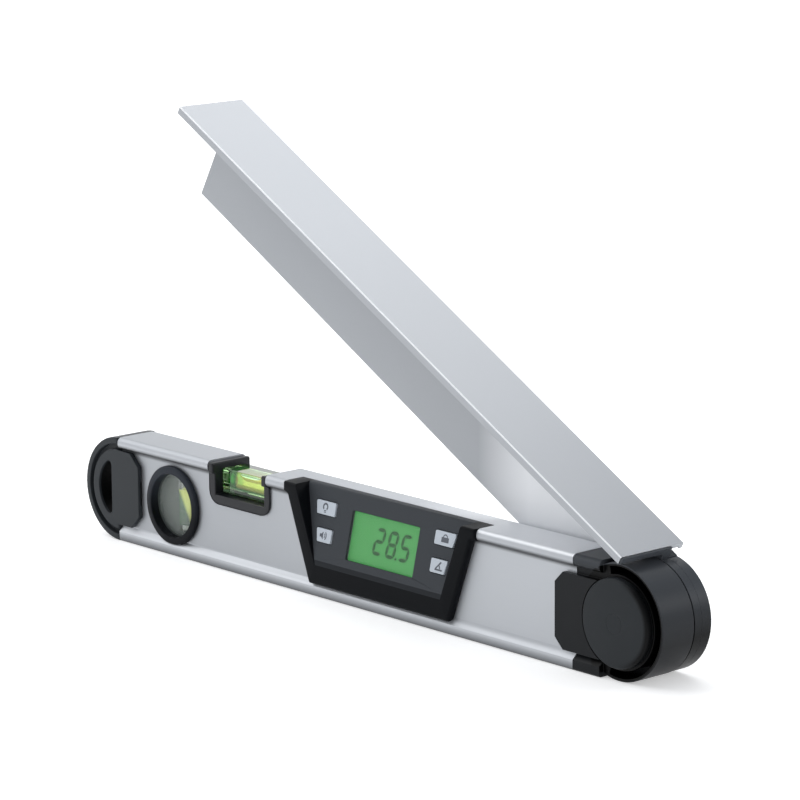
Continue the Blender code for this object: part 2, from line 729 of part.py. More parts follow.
def make_plumb_vial(body):
    """Vertical vial between two round windows: sleeve, back ring, lenses, tube and plugs."""
    centre = (PLUMB_X, 0.0, PLUMB_Z)
    rim_front = FRONT_WEB - PLUMB_RIM_PROUD
    sleeve_back = BACK_WEB - GAP
    seat = LENS_DEPTH + LENS_THICKNESS + GAP
    seat_radius = PLUMB_BORE_RADIUS - LENS_SEAT
    back_seat = BODY_DEPTH - seat
    sleeve = turned(
        "plumb_vial_housing",
        [
            (PLUMB_BORE_RADIUS, rim_front),
            (PLUMB_RIM_RADIUS - BEVEL_EDGE_RADIUS, rim_front),
            (PLUMB_RIM_RADIUS, rim_front + BEVEL_EDGE_RADIUS),
            (PLUMB_RIM_RADIUS, FRONT_WEB - GAP),
            (PLUMB_SLEEVE_RADIUS, FRONT_WEB - GAP),
            (PLUMB_SLEEVE_RADIUS, sleeve_back),
            (PLUMB_BORE_RADIUS, sleeve_back),
            (PLUMB_BORE_RADIUS, back_seat),
            (seat_radius, back_seat),
            (seat_radius, seat),
            (PLUMB_BORE_RADIUS, seat),
        ],
        centre, "Y", body, "black_plastic", LARGE_STEPS,
    )
    socket_start = PLUMB_TUBE_LENGTH / 2 + GAP
    sockets = []
    for name, side in (("upper", 1), ("lower", -1)):
        near = PLUMB_Z + side * socket_start
        far = PLUMB_Z + side * (seat_radius + LENS_SEAT)
        sockets.append(box(
            f"plumb_{name}_socket",
            (PLUMB_X - PLUMB_SOCKET_HALF, MID_DEPTH - PLUMB_SOCKET_HALF, min(near, far)),
            (PLUMB_X + PLUMB_SOCKET_HALF, MID_DEPTH + PLUMB_SOCKET_HALF, max(near, far)),
            body,
        ))
    join(sleeve, *sockets)
    rail_clear = prism(
        "plumb_rail_clearance",
        [
            (-OVERRUN, BOTTOM_RAIL_HEIGHT - RAIL_STEP - OVERRUN + GAP + GAP),
            (FRONT_WEB + OVERRUN, BOTTOM_RAIL_HEIGHT + OVERRUN + GAP + GAP),
            (FRONT_WEB + OVERRUN, 0.0), (-OVERRUN, 0.0),
        ],
        PLUMB_X - PLUMB_RIM_RADIUS, PLUMB_X + PLUMB_RIM_RADIUS, "X", body,
    )
    cut(sleeve, rail_clear)
    back_ring = ring(
        "plumb_vial_back_ring", centre, PLUMB_BORE_RADIUS, PLUMB_RIM_RADIUS - BEVEL_EDGE_RADIUS,
        BACK_WEB + GAP, BACK_WEB + PLUMB_RIM_PROUD - GAP, "Y", body, "black_plastic", LARGE_STEPS,
    )
    back_clear = prism(
        "plumb_back_rail_clearance",
        [
            (BODY_DEPTH + OVERRUN, BOTTOM_RAIL_HEIGHT - RAIL_STEP - OVERRUN + GAP + GAP),
            (BACK_WEB - OVERRUN, BOTTOM_RAIL_HEIGHT + OVERRUN + GAP + GAP),
            (BACK_WEB - OVERRUN, 0.0), (BODY_DEPTH + OVERRUN, 0.0),
        ],
        PLUMB_X - PLUMB_RIM_RADIUS, PLUMB_X + PLUMB_RIM_RADIUS, "X", body,
    )
    cut(back_ring, back_clear)
    lens_radius = PLUMB_BORE_RADIUS - GAP
    for name, low in (("plumb_front_lens", LENS_DEPTH), ("plumb_back_lens", back_seat + GAP)):
        cylinder(name, centre, lens_radius, low, low + LENS_THICKNESS, "Y", body, "acrylic", LARGE_STEPS)
    axis_foot = (PLUMB_X, MID_DEPTH, PLUMB_Z)
    half = PLUMB_TUBE_LENGTH / 2
    ring(
        "plumb_vial_tube", axis_foot, PLUMB_TUBE_BORE, PLUMB_TUBE_RADIUS, -half, half, "Z", body,
        "acrylic", MEDIUM_STEPS,
    )
    fill = PLUMB_TUBE_BORE - GAP
    plug_face = half - VIAL_PLUG_LENGTH
    cylinder(
        "plumb_vial_liquid", axis_foot, fill, -plug_face + GAP, plug_face - GAP - BUBBLE_LENGTH / 2, "Z",
        body, "vial_liquid", MEDIUM_STEPS,
    )
    cylinder("plumb_vial_lower_plug", axis_foot, fill, -half, -plug_face, "Z", body, "button_plastic")
    cylinder("plumb_vial_upper_plug", axis_foot, fill, plug_face, half, "Z", body, "button_plastic")


def make_level_vial(body):
    """Level vial across the top: U-shaped liner, clear block, liquid and two plugs."""
    liner_top = BODY_HEIGHT - LINER_TOP_DROP
    front = FRONT_WEB - LINER_PROUD
    back = BODY_DEPTH - front
    liner = prism(
        "level_vial_housing", notch_outline(-GAP, liner_top), front, back, "Y", body, "black_plastic",
    )
    inner_left = NOTCH_X + LINER_WALL
    inner_right = NOTCH_X + NOTCH_WIDTH - LINER_WALL
    floor = BODY_HEIGHT - NOTCH_DEPTH + LINER_FLOOR
    well = prism(
        "liner_well",
        rectangle((inner_left, floor), (inner_right, liner_top + OVERRUN)),
        -OVERRUN, BODY_DEPTH + OVERRUN, "Y", body,
    )
    lip_top = SHOULDER_Z - GAP
    rims = []
    for name, low, high in (("front", front, FRONT_WEB - GAP), ("back", BACK_WEB + GAP, back)):
        rims.append(prism(
            f"liner_{name}_lip", notch_outline(LINER_LIP, lip_top), low, high, "Y", body,
        ))
    for name, low, high in (("front", GAP, front + GAP), ("back", back - GAP, BODY_DEPTH - GAP)):
        for side, x in (("left", NOTCH_X + GAP), ("right", inner_right)):
            rims.append(box(
                f"liner_{name}_{side}_post",
                (x, low, lip_top), (x + LINER_WALL - GAP, high, liner_top), body,
            ))
    join(liner, *rims)
    cut(liner, well)
    block_x = (inner_left + GAP, inner_right - GAP)
    block_z = (floor + GAP, floor + GAP + BLOCK_HEIGHT)
    block_back = BODY_DEPTH - BLOCK_BACK_INSET
    block_y = (block_back - BLOCK_DEPTH, block_back)
    vial_y = block_back - BLOCK_DEPTH / 2
    block = prism(
        "level_vial_block", rectangle((block_y[0], block_z[0]), (block_y[1], block_z[1]), BEVEL_EDGE_RADIUS),
        *block_x, "X", body, "acrylic",
    )
    axis_foot = (0.0, vial_y, block_z[0] + BLOCK_BORE_RISE)
    bore = turned(
        "level_block_bore",
        [
            (0.0, block_x[0] - OVERRUN), (BLOCK_BORE, block_x[0] - OVERRUN),
            (BLOCK_BORE, block_x[1] + OVERRUN), (0.0, block_x[1] + OVERRUN),
        ],
        axis_foot, "X", body, "acrylic", MEDIUM_STEPS,
    )
    cut(block, bore)
    fill = BLOCK_BORE - GAP
    liquid = cylinder(
        "level_vial_liquid", axis_foot, fill, block_x[0] + VIAL_PLUG_LENGTH + GAP,
        block_x[1] - VIAL_PLUG_LENGTH - GAP, "X", body, "vial_liquid", MEDIUM_STEPS,
    )
    middle = (block_x[0] + block_x[1]) / 2
    half = BUBBLE_LENGTH / 2
    flat = half - BUBBLE_RADIUS
    bubble_profile = arc((0.0, -flat), BUBBLE_RADIUS, -math.pi / 2, 0.0, CORNER_STEPS)
    bubble_profile += arc((0.0, flat), BUBBLE_RADIUS, 0.0, math.pi / 2, CORNER_STEPS)
    bubble_profile[0] = (0.0, -half)
    bubble_profile[-1] = (0.0, half)
    bubble = turned(
        "level_bubble", bubble_profile, (middle, vial_y, axis_foot[2] + fill), "X", body,
        "vial_liquid", SMALL_STEPS,
    )
    cut(liquid, bubble)
    cylinder(
        "level_vial_left_plug", axis_foot, fill, block_x[0], block_x[0] + VIAL_PLUG_LENGTH, "X", body,
        "button_plastic",
    )
    cylinder(
        "level_vial_right_plug", axis_foot, fill, block_x[1] - VIAL_PLUG_LENGTH, block_x[1], "X", body,
        "button_plastic",
    )


def make_console(body, panel):
    """Moulded console: two cheeks, a leaning panel between them and a flat lower band."""
    housing = prism(
        "console_housing", console_shape(), -CONSOLE_PROUD, CONSOLE_HEAD_DEPTH, "Y", body, "dark_plastic",
        soft=(CONSOLE_EDGE_RADIUS, (0,)),
    )
    under_head = box(
        "console_under_head",
        (CONSOLE_X - BODY_LENGTH / 2, FRONT_WEB - GAP, -OVERRUN),
        (CONSOLE_X + BODY_LENGTH / 2, BODY_DEPTH, SHOULDER_Z), body,
    )
    cut(housing, under_head)
    foot_z = CONSOLE_BASE_Z + CONSOLE_FOOT_RISE + GAP
    roof_z = BODY_HEIGHT - DECK_WALL - GAP
    carcass = prism(
        "console_carcass",
        [
            (FRONT_WEB - OVERRUN, foot_z), (CONSOLE_BACK_STEP, foot_z), (CONSOLE_BACK_STEP, HINGE_Z),
            (CONSOLE_HEAD_DEPTH - GAP, SHOULDER_Z), (CONSOLE_HEAD_DEPTH - GAP, roof_z),
            (FRONT_WEB - OVERRUN, roof_z),
        ],
        CONSOLE_X - CONSOLE_HEAD_HALF, CONSOLE_X + CONSOLE_HEAD_HALF, "X", body,
    )
    carcass_sides = prism(
        "console_carcass_sides", console_outline(CONSOLE_LAP + GAP, CONSOLE_BASE_Z, BODY_HEIGHT), -OVERRUN,
        BODY_DEPTH, "Y", body,
    )
    combine(carcass, [carcass_sides], "INTERSECT")
    join(housing, carcass)
    bevel_run = PANEL_FOOT_SETBACK / PANEL_BEVEL_HEIGHT
    recess_top = BODY_HEIGHT + OVERRUN
    chamfer_z = BODY_HEIGHT - HEAD_CHAMFER
    recess = prism(
        "console_recess",
        [
            (-CONSOLE_PROUD - OVERRUN * bevel_run, PANEL_FOOT_Z - PANEL_BEVEL_HEIGHT - OVERRUN),
            (PANEL_FOOT_Y, PANEL_FOOT_Z), (panel_y(chamfer_z), chamfer_z),
            (panel_y(chamfer_z) + HEAD_CHAMFER + OVERRUN, recess_top),
            (-CONSOLE_PROUD - OVERRUN, recess_top),
            (-CONSOLE_PROUD - OVERRUN, PANEL_FOOT_Z - PANEL_BEVEL_HEIGHT - OVERRUN),
        ],
        CONSOLE_X - CONSOLE_HEAD_HALF, CONSOLE_X + CONSOLE_HEAD_HALF, "X", body,
    )
    recess_sides = prism(
        "console_recess_sides", console_outline(CHEEK_WIDTH, CONSOLE_BASE_Z, recess_top + OVERRUN),
        -CONSOLE_PROUD - OVERRUN - OVERRUN, BODY_DEPTH, "Y", body,
    )
    combine(recess, [recess_sides], "INTERSECT")
    wall_run = CONSOLE_WALL / math.cos(PANEL_LEAN)
    cavity_low = foot_z + CONSOLE_WALL
    band_back = -CONSOLE_PROUD + CONSOLE_WALL
    cavity = prism(
        "console_cavity",
        [
            (band_back, cavity_low), (band_back, PANEL_FOOT_Z - PANEL_BEVEL_HEIGHT),
            (PANEL_FOOT_Y + wall_run, PANEL_FOOT_Z), (panel_y(roof_z) + wall_run, roof_z),
            (BODY_DEPTH, roof_z), (BODY_DEPTH, cavity_low),
        ],
        CONSOLE_X - CONSOLE_HEAD_HALF, CONSOLE_X + CONSOLE_HEAD_HALF, "X", body,
    )
    cavity_sides = prism(
        "console_cavity_sides",
        console_outline(CONSOLE_LAP + GAP + CONSOLE_WALL, CONSOLE_BASE_Z, BODY_HEIGHT), -OVERRUN,
        BODY_DEPTH + OVERRUN, "Y", body,
    )
    combine(cavity, [cavity_sides], "INTERSECT")
    rail_clear = prism(
        "console_rail_clearance",
        [
            (-OVERRUN, BOTTOM_RAIL_HEIGHT - RAIL_STEP - OVERRUN + GAP + GAP),
            (FRONT_WEB + OVERRUN, BOTTOM_RAIL_HEIGHT + OVERRUN + GAP + GAP),
            (FRONT_WEB + OVERRUN, 0.0), (-OVERRUN, 0.0),
        ],
        CONSOLE_X - CONSOLE_HEAD_HALF, CONSOLE_X + CONSOLE_HEAD_HALF, "X", body,
    )
    openings = [recess, cavity, rail_clear]
    openings.append(prism(
        "display_cutter", display_outline(0.0), PANEL_BACK - OVERRUN, OVERRUN, "Z", panel,
    ))
    for name, side, rise in button_places():
        openings.append(prism(
            f"{name}_cutter", button_outline(side, rise, GAP), PANEL_BACK - OVERRUN, OVERRUN, "Z", panel,
        ))
    cut(housing, *openings)
    bosses = [
        ring(
            f"{name}_boss", place, SCREW_RADIUS + GAP, BOARD_BOSS_RADIUS, BOARD_TOP + GAP,
            PANEL_BACK + GAP, "Z", panel, "black_plastic", SMALL_STEPS,
        )
        for name, place in board_screw_places()
    ]
    return join(housing, *bosses)


def board_screw_places():
    """Name and place, in the panel's plane, of the two screws that hold the board."""
    return [
        ("board_left", (-BOARD_SCREW_X, BOARD_SCREW_RISE, 0.0)),
        ("board_right", (BOARD_SCREW_X, BOARD_SCREW_RISE, 0.0)),
    ]


def display_outline(grow):
    """Outline of the display window in the panel's plane, moved out by grow."""
    half = DISPLAY_WIDTH / 2 + grow
    low = DISPLAY_RISE - grow
    high = DISPLAY_RISE + DISPLAY_HEIGHT + grow
    return rectangle((-half, low), (half, high), DISPLAY_CORNER)


def button_places():
    """Name, side and height of each of the four buttons."""
    rows = dict(zip(("lower", "upper"), BUTTON_ROW_RISES))
    return [
        (f"button_{row}_{label}", side, rise)
        for row, rise in rows.items() for label, side in (("left", -1), ("right", 1))
    ]


def button_outline(side, rise, grow):
    """Button outline in the panel's plane: square inside, slanted along the cheek outside."""
    low = rise - grow
    high = rise + BUTTON_HEIGHT + grow
    inner = BUTTON_INNER - grow
    outer_low = BUTTON_OUTER + BUTTON_SLOPE * low + grow
    outer_high = BUTTON_OUTER + BUTTON_SLOPE * high + grow
    corners = [(inner, low), (outer_low, low), (outer_high, high), (inner, high)]
    points = [(side * u, v, BUTTON_CORNER) for u, v in corners]
    return rounded(points, 2)


def make_display_and_board(panel):
    """Window, display, buttons, switches, board, its screws and the buzzer."""
    prism(
        "display_window", display_outline(-GAP), PANEL_BACK, -DISPLAY_RECESS, "Z", panel, "acrylic",
    )
    prism(
        "display_module", display_outline(MODULE_BORDER), MODULE_TOP - MODULE_THICKNESS, MODULE_TOP, "Z",
        panel, "display",
    )
    flange_top = PANEL_BACK - GAP
    flange_bottom = flange_top - BUTTON_FLANGE
    for name, side, rise in button_places():
        button = prism(
            name, button_outline(side, rise, 0.0), flange_top - GAP, BUTTON_PROUD, "Z", panel,
            "button_plastic",
        )
        flange = prism(
            name + "_flange", button_outline(side, rise, BUTTON_FLANGE), flange_bottom, flange_top, "Z",
            panel,
        )
        join(button, flange)
    board = box(
        "main_board", (-BOARD_HALF_WIDTH, BOARD_RISE, BOARD_BOTTOM),
        (BOARD_HALF_WIDTH, BOARD_RISE + BOARD_HEIGHT, BOARD_TOP), panel, "circuit_board",
    )
    switch_low = BOARD_TOP + GAP
    plunger_top = flange_bottom - BUTTON_TRAVEL - BUTTON_STOP_GAP
    middle = BUTTON_HEIGHT / 2
    reach = BUTTON_INNER + BUTTON_HEIGHT
    for name, side, rise in button_places():
        x = side * reach
        switch = box(
            name.replace("button", "switch"),
            (x - SWITCH_SIZE / 2, rise + middle - SWITCH_SIZE / 2, switch_low),
            (x + SWITCH_SIZE / 2, rise + middle + SWITCH_SIZE / 2, switch_low + SWITCH_BODY_HEIGHT),
            panel, "grey_plastic",
        )
        plunger = cylinder(
            name + "_plunger", (x, rise + middle, 0.0), SWITCH_SIZE / 4, switch_low + GAP, plunger_top,
            "Z", panel,
        )
        join(switch, plunger)
    cut(board, *[
        screw_hole(f"{name}_hole", place, BOARD_BOTTOM - OVERRUN, BOARD_TOP + OVERRUN, "Z", panel)
        for name, place in board_screw_places()
    ])
    seat = BOARD_BOTTOM - GAP
    for name, place in board_screw_places():
        screw(f"{name}_screw", place, seat, -1, "Z", panel, PANEL_BACK - seat)
    cylinder(
        "buzzer", (-BUZZER_X, BUZZER_RISE, 0.0), BUZZER_RADIUS, BOARD_BOTTOM - GAP - BUZZER_HEIGHT,
        BOARD_BOTTOM - GAP, "Z", panel, "black_plastic", MEDIUM_STEPS,
    )


def make_battery_bay(body):
    """Tray in the back web with two cells and their contacts, and the door over it."""
    cell_y = BACK_WEB - CELL_RADIUS
    floor_back = cell_y - CELL_RADIUS - GAP
    rim_front = BACK_WEB + GAP
    rim_back = rim_front + TRAY_RIM_THICKNESS
    low, high = tray_box(TRAY_WALL)
    tray = prism(
        "battery_tray", rectangle(low, high), floor_back - TRAY_WALL, rim_back, "Y", body, "black_plastic",
    )
    rim_low, rim_high = tray_box(TRAY_WALL + TRAY_RIM)
    rim = prism("tray_rim", rectangle(rim_low, rim_high, DOOR_CORNER), rim_front, rim_back, "Y", body)
    well_low, well_high = tray_box(0.0)
    well = prism("tray_well", rectangle(well_low, well_high), floor_back, BODY_DEPTH, "Y", body)
    join(tray, rim)
    cut(tray, well)
    for index, side in enumerate((-1, 1)):
        z = TRAY_Z + side * CELL_PITCH / 2
        way = -side
        start = CONSOLE_X - way * CELL_LENGTH / 2
        shoulder = CONSOLE_X + way * CELL_LENGTH / 2 - way * CELL_TIP_LENGTH
        tip = CONSOLE_X + way * CELL_LENGTH / 2
        turned(
            f"battery_cell_{index + 1}",
            [
                (0.0, start), (CELL_RADIUS, start), (CELL_RADIUS, shoulder),
                (CELL_TIP_RADIUS, shoulder), (CELL_TIP_RADIUS, tip), (0.0, tip),
            ],
            (0.0, cell_y, z), "X", body, "cell_sleeve", SMALL_STEPS,
        )
    for label, side in (("left", -1), ("right", 1)):
        wall_x = well_high[0] if side > 0 else well_low[0]
        plate_x = sorted((wall_x - side * GAP, wall_x - side * (GAP + CONTACT_THICKNESS)))
        plate = box(
            f"battery_contact_{label}",
            (plate_x[0], cell_y - CONTACT_HEIGHT / 2, well_low[1] + GAP),
            (plate_x[1], cell_y + CONTACT_HEIGHT / 2, well_high[1] - GAP),
            body, "spring_steel",
        )
        reach = sorted((wall_x - side * CONTACT_THICKNESS, CONSOLE_X + side * (CELL_LENGTH / 2 + GAP)))
        join(plate, *[
            cylinder(
                f"contact_{label}_{row}_spring", (0.0, cell_y, TRAY_Z + way * CELL_PITCH / 2), SPRING_RADIUS,
                *reach, "X", body,
            )
            for row, way in (("lower", -1), ("upper", 1))
        ])
    door_front = rim_back + GAP
    door = prism(
        "battery_door", rectangle(rim_low, rim_high, DOOR_CORNER), door_front, door_front + DOOR_THICKNESS,
        "Y", body, "dark_plastic",
    )
    grooves = []
    for index in range(DOOR_GRIP_COUNT):
        grip_z = TRAY_Z + (index - (DOOR_GRIP_COUNT - 1) / 2) * DOOR_GRIP_PITCH
        grooves.append(box(
            f"door_grip_{index}",
            (CONSOLE_X - DOOR_GRIP_WIDTH / 2, door_front + DOOR_THICKNESS - DOOR_GRIP_DEPTH,
             grip_z - DOOR_GRIP_HEIGHT / 2),
            (CONSOLE_X + DOOR_GRIP_WIDTH / 2, BODY_DEPTH + OVERRUN, grip_z + DOOR_GRIP_HEIGHT / 2),
            body,
        ))
    return cut(door, *grooves)


def make_hinge_housing(body):
    """Round housing on the body's end: rails run out into it, tab, groove and pivot bore."""
    centre = (HINGE_X, HINGE_Z)
    start = BODY_LENGTH + GAP
    band_x = HINGE_X - BAND_END
    meet = math.acos(-BAND_END / HINGE_RADIUS)
    outline = [(start, 0.0), (band_x, 0.0)]
    outline += arc(centre, HINGE_RADIUS, -meet, meet, LARGE_STEPS)
    outline += [(band_x, BODY_HEIGHT), (start, BODY_HEIGHT)]
    housing = prism("hinge_housing", outline, FRONT_WEB, HOUSING_BACK, "Y", body, "dark_plastic")
    nose = RAIL_STEP * NOSE_ROUNDNESS_SHARE
    root = FRONT_WEB + OVERRUN
    top_band = prism(
        "housing_top_band",
        rounded([
            (0.0, SHOULDER_Z, nose), (0.0, BODY_HEIGHT, nose), (root, BODY_HEIGHT, 0.0),
            (root, SHOULDER_Z, 0.0),
        ]),
        start, band_x, "X", body,
    )
    bottom_band = prism(
        "housing_bottom_band",
        rounded([
            (0.0, 0.0, BASE_EDGE_RADIUS), (0.0, BOTTOM_RAIL_HEIGHT - RAIL_STEP, BEVEL_EDGE_RADIUS),
            (FRONT_WEB, BOTTOM_RAIL_HEIGHT, 0.0), (root, BOTTOM_RAIL_HEIGHT, 0.0), (root, 0.0, 0.0),
        ]),
        start, band_x, "X", body,
    )
    tab_left = BODY_LENGTH - HINGE_TAB_REACH
    tab_low = BOTTOM_RAIL_HEIGHT + TAB_RAIL_GAP
    tab_high = SHOULDER_Z - HINGE_TAB_TOP_GAP
    tab = prism(
        "housing_tab",
        [
            (tab_left + HINGE_TAB_CHAMFER, tab_low), (HINGE_X, tab_low), (HINGE_X, tab_high),
            (tab_left + HINGE_TAB_CHAMFER, tab_high), (tab_left, tab_high - HINGE_TAB_CHAMFER),
            (tab_left, tab_low + HINGE_TAB_CHAMFER),
        ],
        0.0, FRONT_WEB - GAP, "Y", body,
    )
    tab_root = prism(
        "housing_tab_root",
        rectangle((start, tab_low), (HINGE_X, tab_high)), FRONT_WEB - OVERRUN, FRONT_WEB + OVERRUN, "Y", body,
    )
    plug, core = plug_solid(
        "housing_plug", BODY_LENGTH - PLUG_REACH, start + OVERRUN,
        (BODY_LENGTH - PLUG_REACH - OVERRUN, start), body,
    )
    join(housing, top_band, bottom_band, tab, tab_root, plug)
    seat = cylinder(
        "cover_seat", (HINGE_X, 0.0, HINGE_Z), COVER_RADIUS + GAP, -OVERRUN, FRONT_WEB, "Y", body,
        steps=LARGE_STEPS,
    )
    groove_line = arc(centre, GROOVE_OUTER_RADIUS, -GROOVE_HALF_ANGLE, GROOVE_HALF_ANGLE, MEDIUM_STEPS)
    groove_line += arc(centre, GROOVE_INNER_RADIUS, GROOVE_HALF_ANGLE, -GROOVE_HALF_ANGLE, MEDIUM_STEPS)
    groove = prism("housing_groove", groove_line, FRONT_WEB - OVERRUN, FRONT_WEB + GROOVE_DEPTH, "Y", body)
    pocket = cylinder(
        "housing_pocket", (HINGE_X, 0.0, HINGE_Z), POCKET_RADIUS, -OVERRUN, POCKET_DEPTH, "Y", body,
        steps=LARGE_STEPS,
    )
    bore = cylinder(
        "housing_bore", (HINGE_X, 0.0, HINGE_Z), SHAFT_RADIUS + BUSH_WALL + GAP, 0.0,
        HOUSING_BACK + OVERRUN, "Y", body, steps=MEDIUM_STEPS,
    )
    cable = box(
        "housing_cable_slot",
        (BODY_LENGTH - PLUG_REACH - OVERRUN, POCKET_DEPTH - CABLE_SLOT_DEPTH,
         HINGE_Z - CABLE_SLOT_HEIGHT / 2),
        (HINGE_X - POCKET_RADIUS + OVERRUN, POCKET_DEPTH, HINGE_Z + CABLE_SLOT_HEIGHT / 2),
        body,
    )
    return cut(housing, core, seat, groove, pocket, bore, cable, *plug_holes("housing_screw", body))


def make_hinge_inside(body, arm):
    """Cover, encoder, ribbon, bush and washer on the body; shaft, rotor and nut on the arm."""
    axis_foot = (HINGE_X, 0.0, HINGE_Z)
    ring_back = FRONT_WEB + COVER_RING_DEPTH
    plate_back = FRONT_WEB - GAP
    turned(
        "hinge_cover",
        [
            (0.0, -COVER_PROUD), (COVER_DIMPLE_RADIUS, -COVER_PROUD),
            (COVER_DIMPLE_RADIUS, -COVER_PROUD + COVER_DIMPLE_DEPTH),
            (COVER_DIMPLE_RADIUS + COVER_DIMPLE_WIDTH, -COVER_PROUD + COVER_DIMPLE_DEPTH),
            (COVER_DIMPLE_RADIUS + COVER_DIMPLE_WIDTH, -COVER_PROUD),
            (COVER_RADIUS - COVER_CHAMFER, -COVER_PROUD), (COVER_RADIUS, -COVER_PROUD + COVER_CHAMFER),
            (COVER_RADIUS, plate_back), (COVER_RING_RADIUS, plate_back), (COVER_RING_RADIUS, ring_back),
            (COVER_RING_RADIUS - COVER_RING_WALL, ring_back),
            (COVER_RING_RADIUS - COVER_RING_WALL, plate_back),
            (0.0, plate_back),
        ],
        axis_foot, "Y", body, "grey_plastic", LARGE_STEPS,
    )
    board_back = POCKET_DEPTH - GAP
    ring(
        "encoder_board", axis_foot, SHAFT_RADIUS + GAP, ENCODER_RADIUS, board_back - ENCODER_THICKNESS,
        board_back, "Y", body, "circuit_board",
    )
    ribbon_right = HINGE_X - ENCODER_RADIUS - GAP
    box(
        "encoder_ribbon",
        (CONSOLE_X + BOARD_HALF_WIDTH - RIBBON_OVERLAP, board_back - RIBBON_THICKNESS - GAP,
         HINGE_Z - RIBBON_WIDTH / 2),
        (ribbon_right, board_back - GAP, HINGE_Z + RIBBON_WIDTH / 2), body, "grey_plastic",
    )
    ring(
        "pivot_bush", axis_foot, SHAFT_RADIUS + SHAFT_CLEARANCE, SHAFT_RADIUS + BUSH_WALL,
        POCKET_DEPTH + GAP, HOUSING_BACK - GAP, "Y", body, "brass",
    )
    washer_front = HOUSING_BACK + GAP
    ring(
        "thrust_washer", axis_foot, SHAFT_RADIUS + GAP, WASHER_RADIUS, washer_front,
        washer_front + WASHER_THICKNESS, "Y", body, "steel",
    )
    pivot = (0.0, 0.0, 0.0)
    rotor_back = board_back - ENCODER_THICKNESS - SLIDE_GAP
    rotor_front = rotor_back - ROTOR_THICKNESS
    nut_back = rotor_front - GAP
    nut_front = nut_back - NUT_THICKNESS
    head_front = HUB_BACK + GAP
    turned(
        "pivot_shaft",
        [
            (0.0, nut_front - GAP), (SHAFT_RADIUS, nut_front - GAP), (SHAFT_RADIUS, head_front),
            (SHAFT_HEAD_RADIUS, head_front), (SHAFT_HEAD_RADIUS, head_front + SHAFT_HEAD_THICKNESS),
            (0.0, head_front + SHAFT_HEAD_THICKNESS),
        ],
        pivot, "Y", arm, "steel",
    )
    ring(
        "encoder_rotor", pivot, SHAFT_RADIUS + GAP, ROTOR_RADIUS, rotor_front, rotor_back, "Y", arm,
        "brass",
    )
    prism(
        "pivot_nut", circle((0.0, 0.0), NUT_RADIUS, HEX_SIDES), nut_front, nut_back, "Y", arm, "steel",
        holes=[circle((0.0, 0.0), SHAFT_RADIUS + GAP, SMALL_STEPS)],
    )


def make_arm_profile(arm):
    """Aluminium T-shaped arm: wide flange over the body's top, web behind the body's back."""
    section = rounded([
        (FLANGE_FRONT, FLANGE_BOTTOM, 0.0),
        (FLANGE_FRONT, FLANGE_TOP, ARM_EDGE_RADIUS),
        (FLANGE_BACK, FLANGE_TOP, ARM_EDGE_RADIUS),
        (FLANGE_BACK, FLANGE_TOP - REAR_LIP_HEIGHT, ARM_EDGE_RADIUS),
        (FLANGE_BACK - REAR_LIP_WIDTH, FLANGE_TOP - REAR_LIP_HEIGHT, 0.0),
        (FLANGE_BACK - REAR_LIP_WIDTH, FLANGE_PLATE, 0.0),
        (ARM_WEB_BACK, FLANGE_PLATE, 0.0),
        (ARM_WEB_BACK, -ARM_WEB_DROP, 0.0),
        (ARM_WEB_FRONT, -ARM_WEB_DROP, 0.0),
        (ARM_WEB_FRONT, FLANGE_PLATE, 0.0),
        (FLANGE_FRONT + FLANGE_LIP_WIDTH, FLANGE_PLATE, 0.0),
        (FLANGE_FRONT + FLANGE_LIP_WIDTH, FLANGE_BOTTOM, 0.0),
    ])
    profile = prism("arm_profile", section, -ARM_LENGTH, -ARM_START, "X", arm, "aluminium")
    web_end = box(
        "arm_web_end_cutter",
        (-ARM_LENGTH - OVERRUN, ARM_WEB_FRONT - OVERRUN, -ARM_WEB_DROP - OVERRUN),
        (-ARM_LENGTH + ARM_WEB_SHORT, ARM_WEB_BACK + OVERRUN, FLANGE_PLATE), arm,
    )
    holes = [
        screw_hole(f"arm_web_hole_{index}", place, ARM_WEB_FRONT - OVERRUN, ARM_WEB_BACK + OVERRUN, "Y", arm)
        for index, place in enumerate(web_screw_places())
    ]
    return cut(profile, web_end, *holes)


def web_screw_places():
    """Places, from the pivot, of the screws through the cover's lobe into the arm's web."""
    return [(-WEB_SCREW_REACH, 0.0, side * WEB_SCREW_RISE) for side in (-1, 1)]


def hub_screw_places():
    """Places, from the pivot, of the screws that hold the hub cover to the hub."""
    return [
        (HUB_SCREW_CIRCLE * math.cos(angle), 0.0, HUB_SCREW_CIRCLE * math.sin(angle))
        for angle in HUB_SCREW_ANGLES
    ]


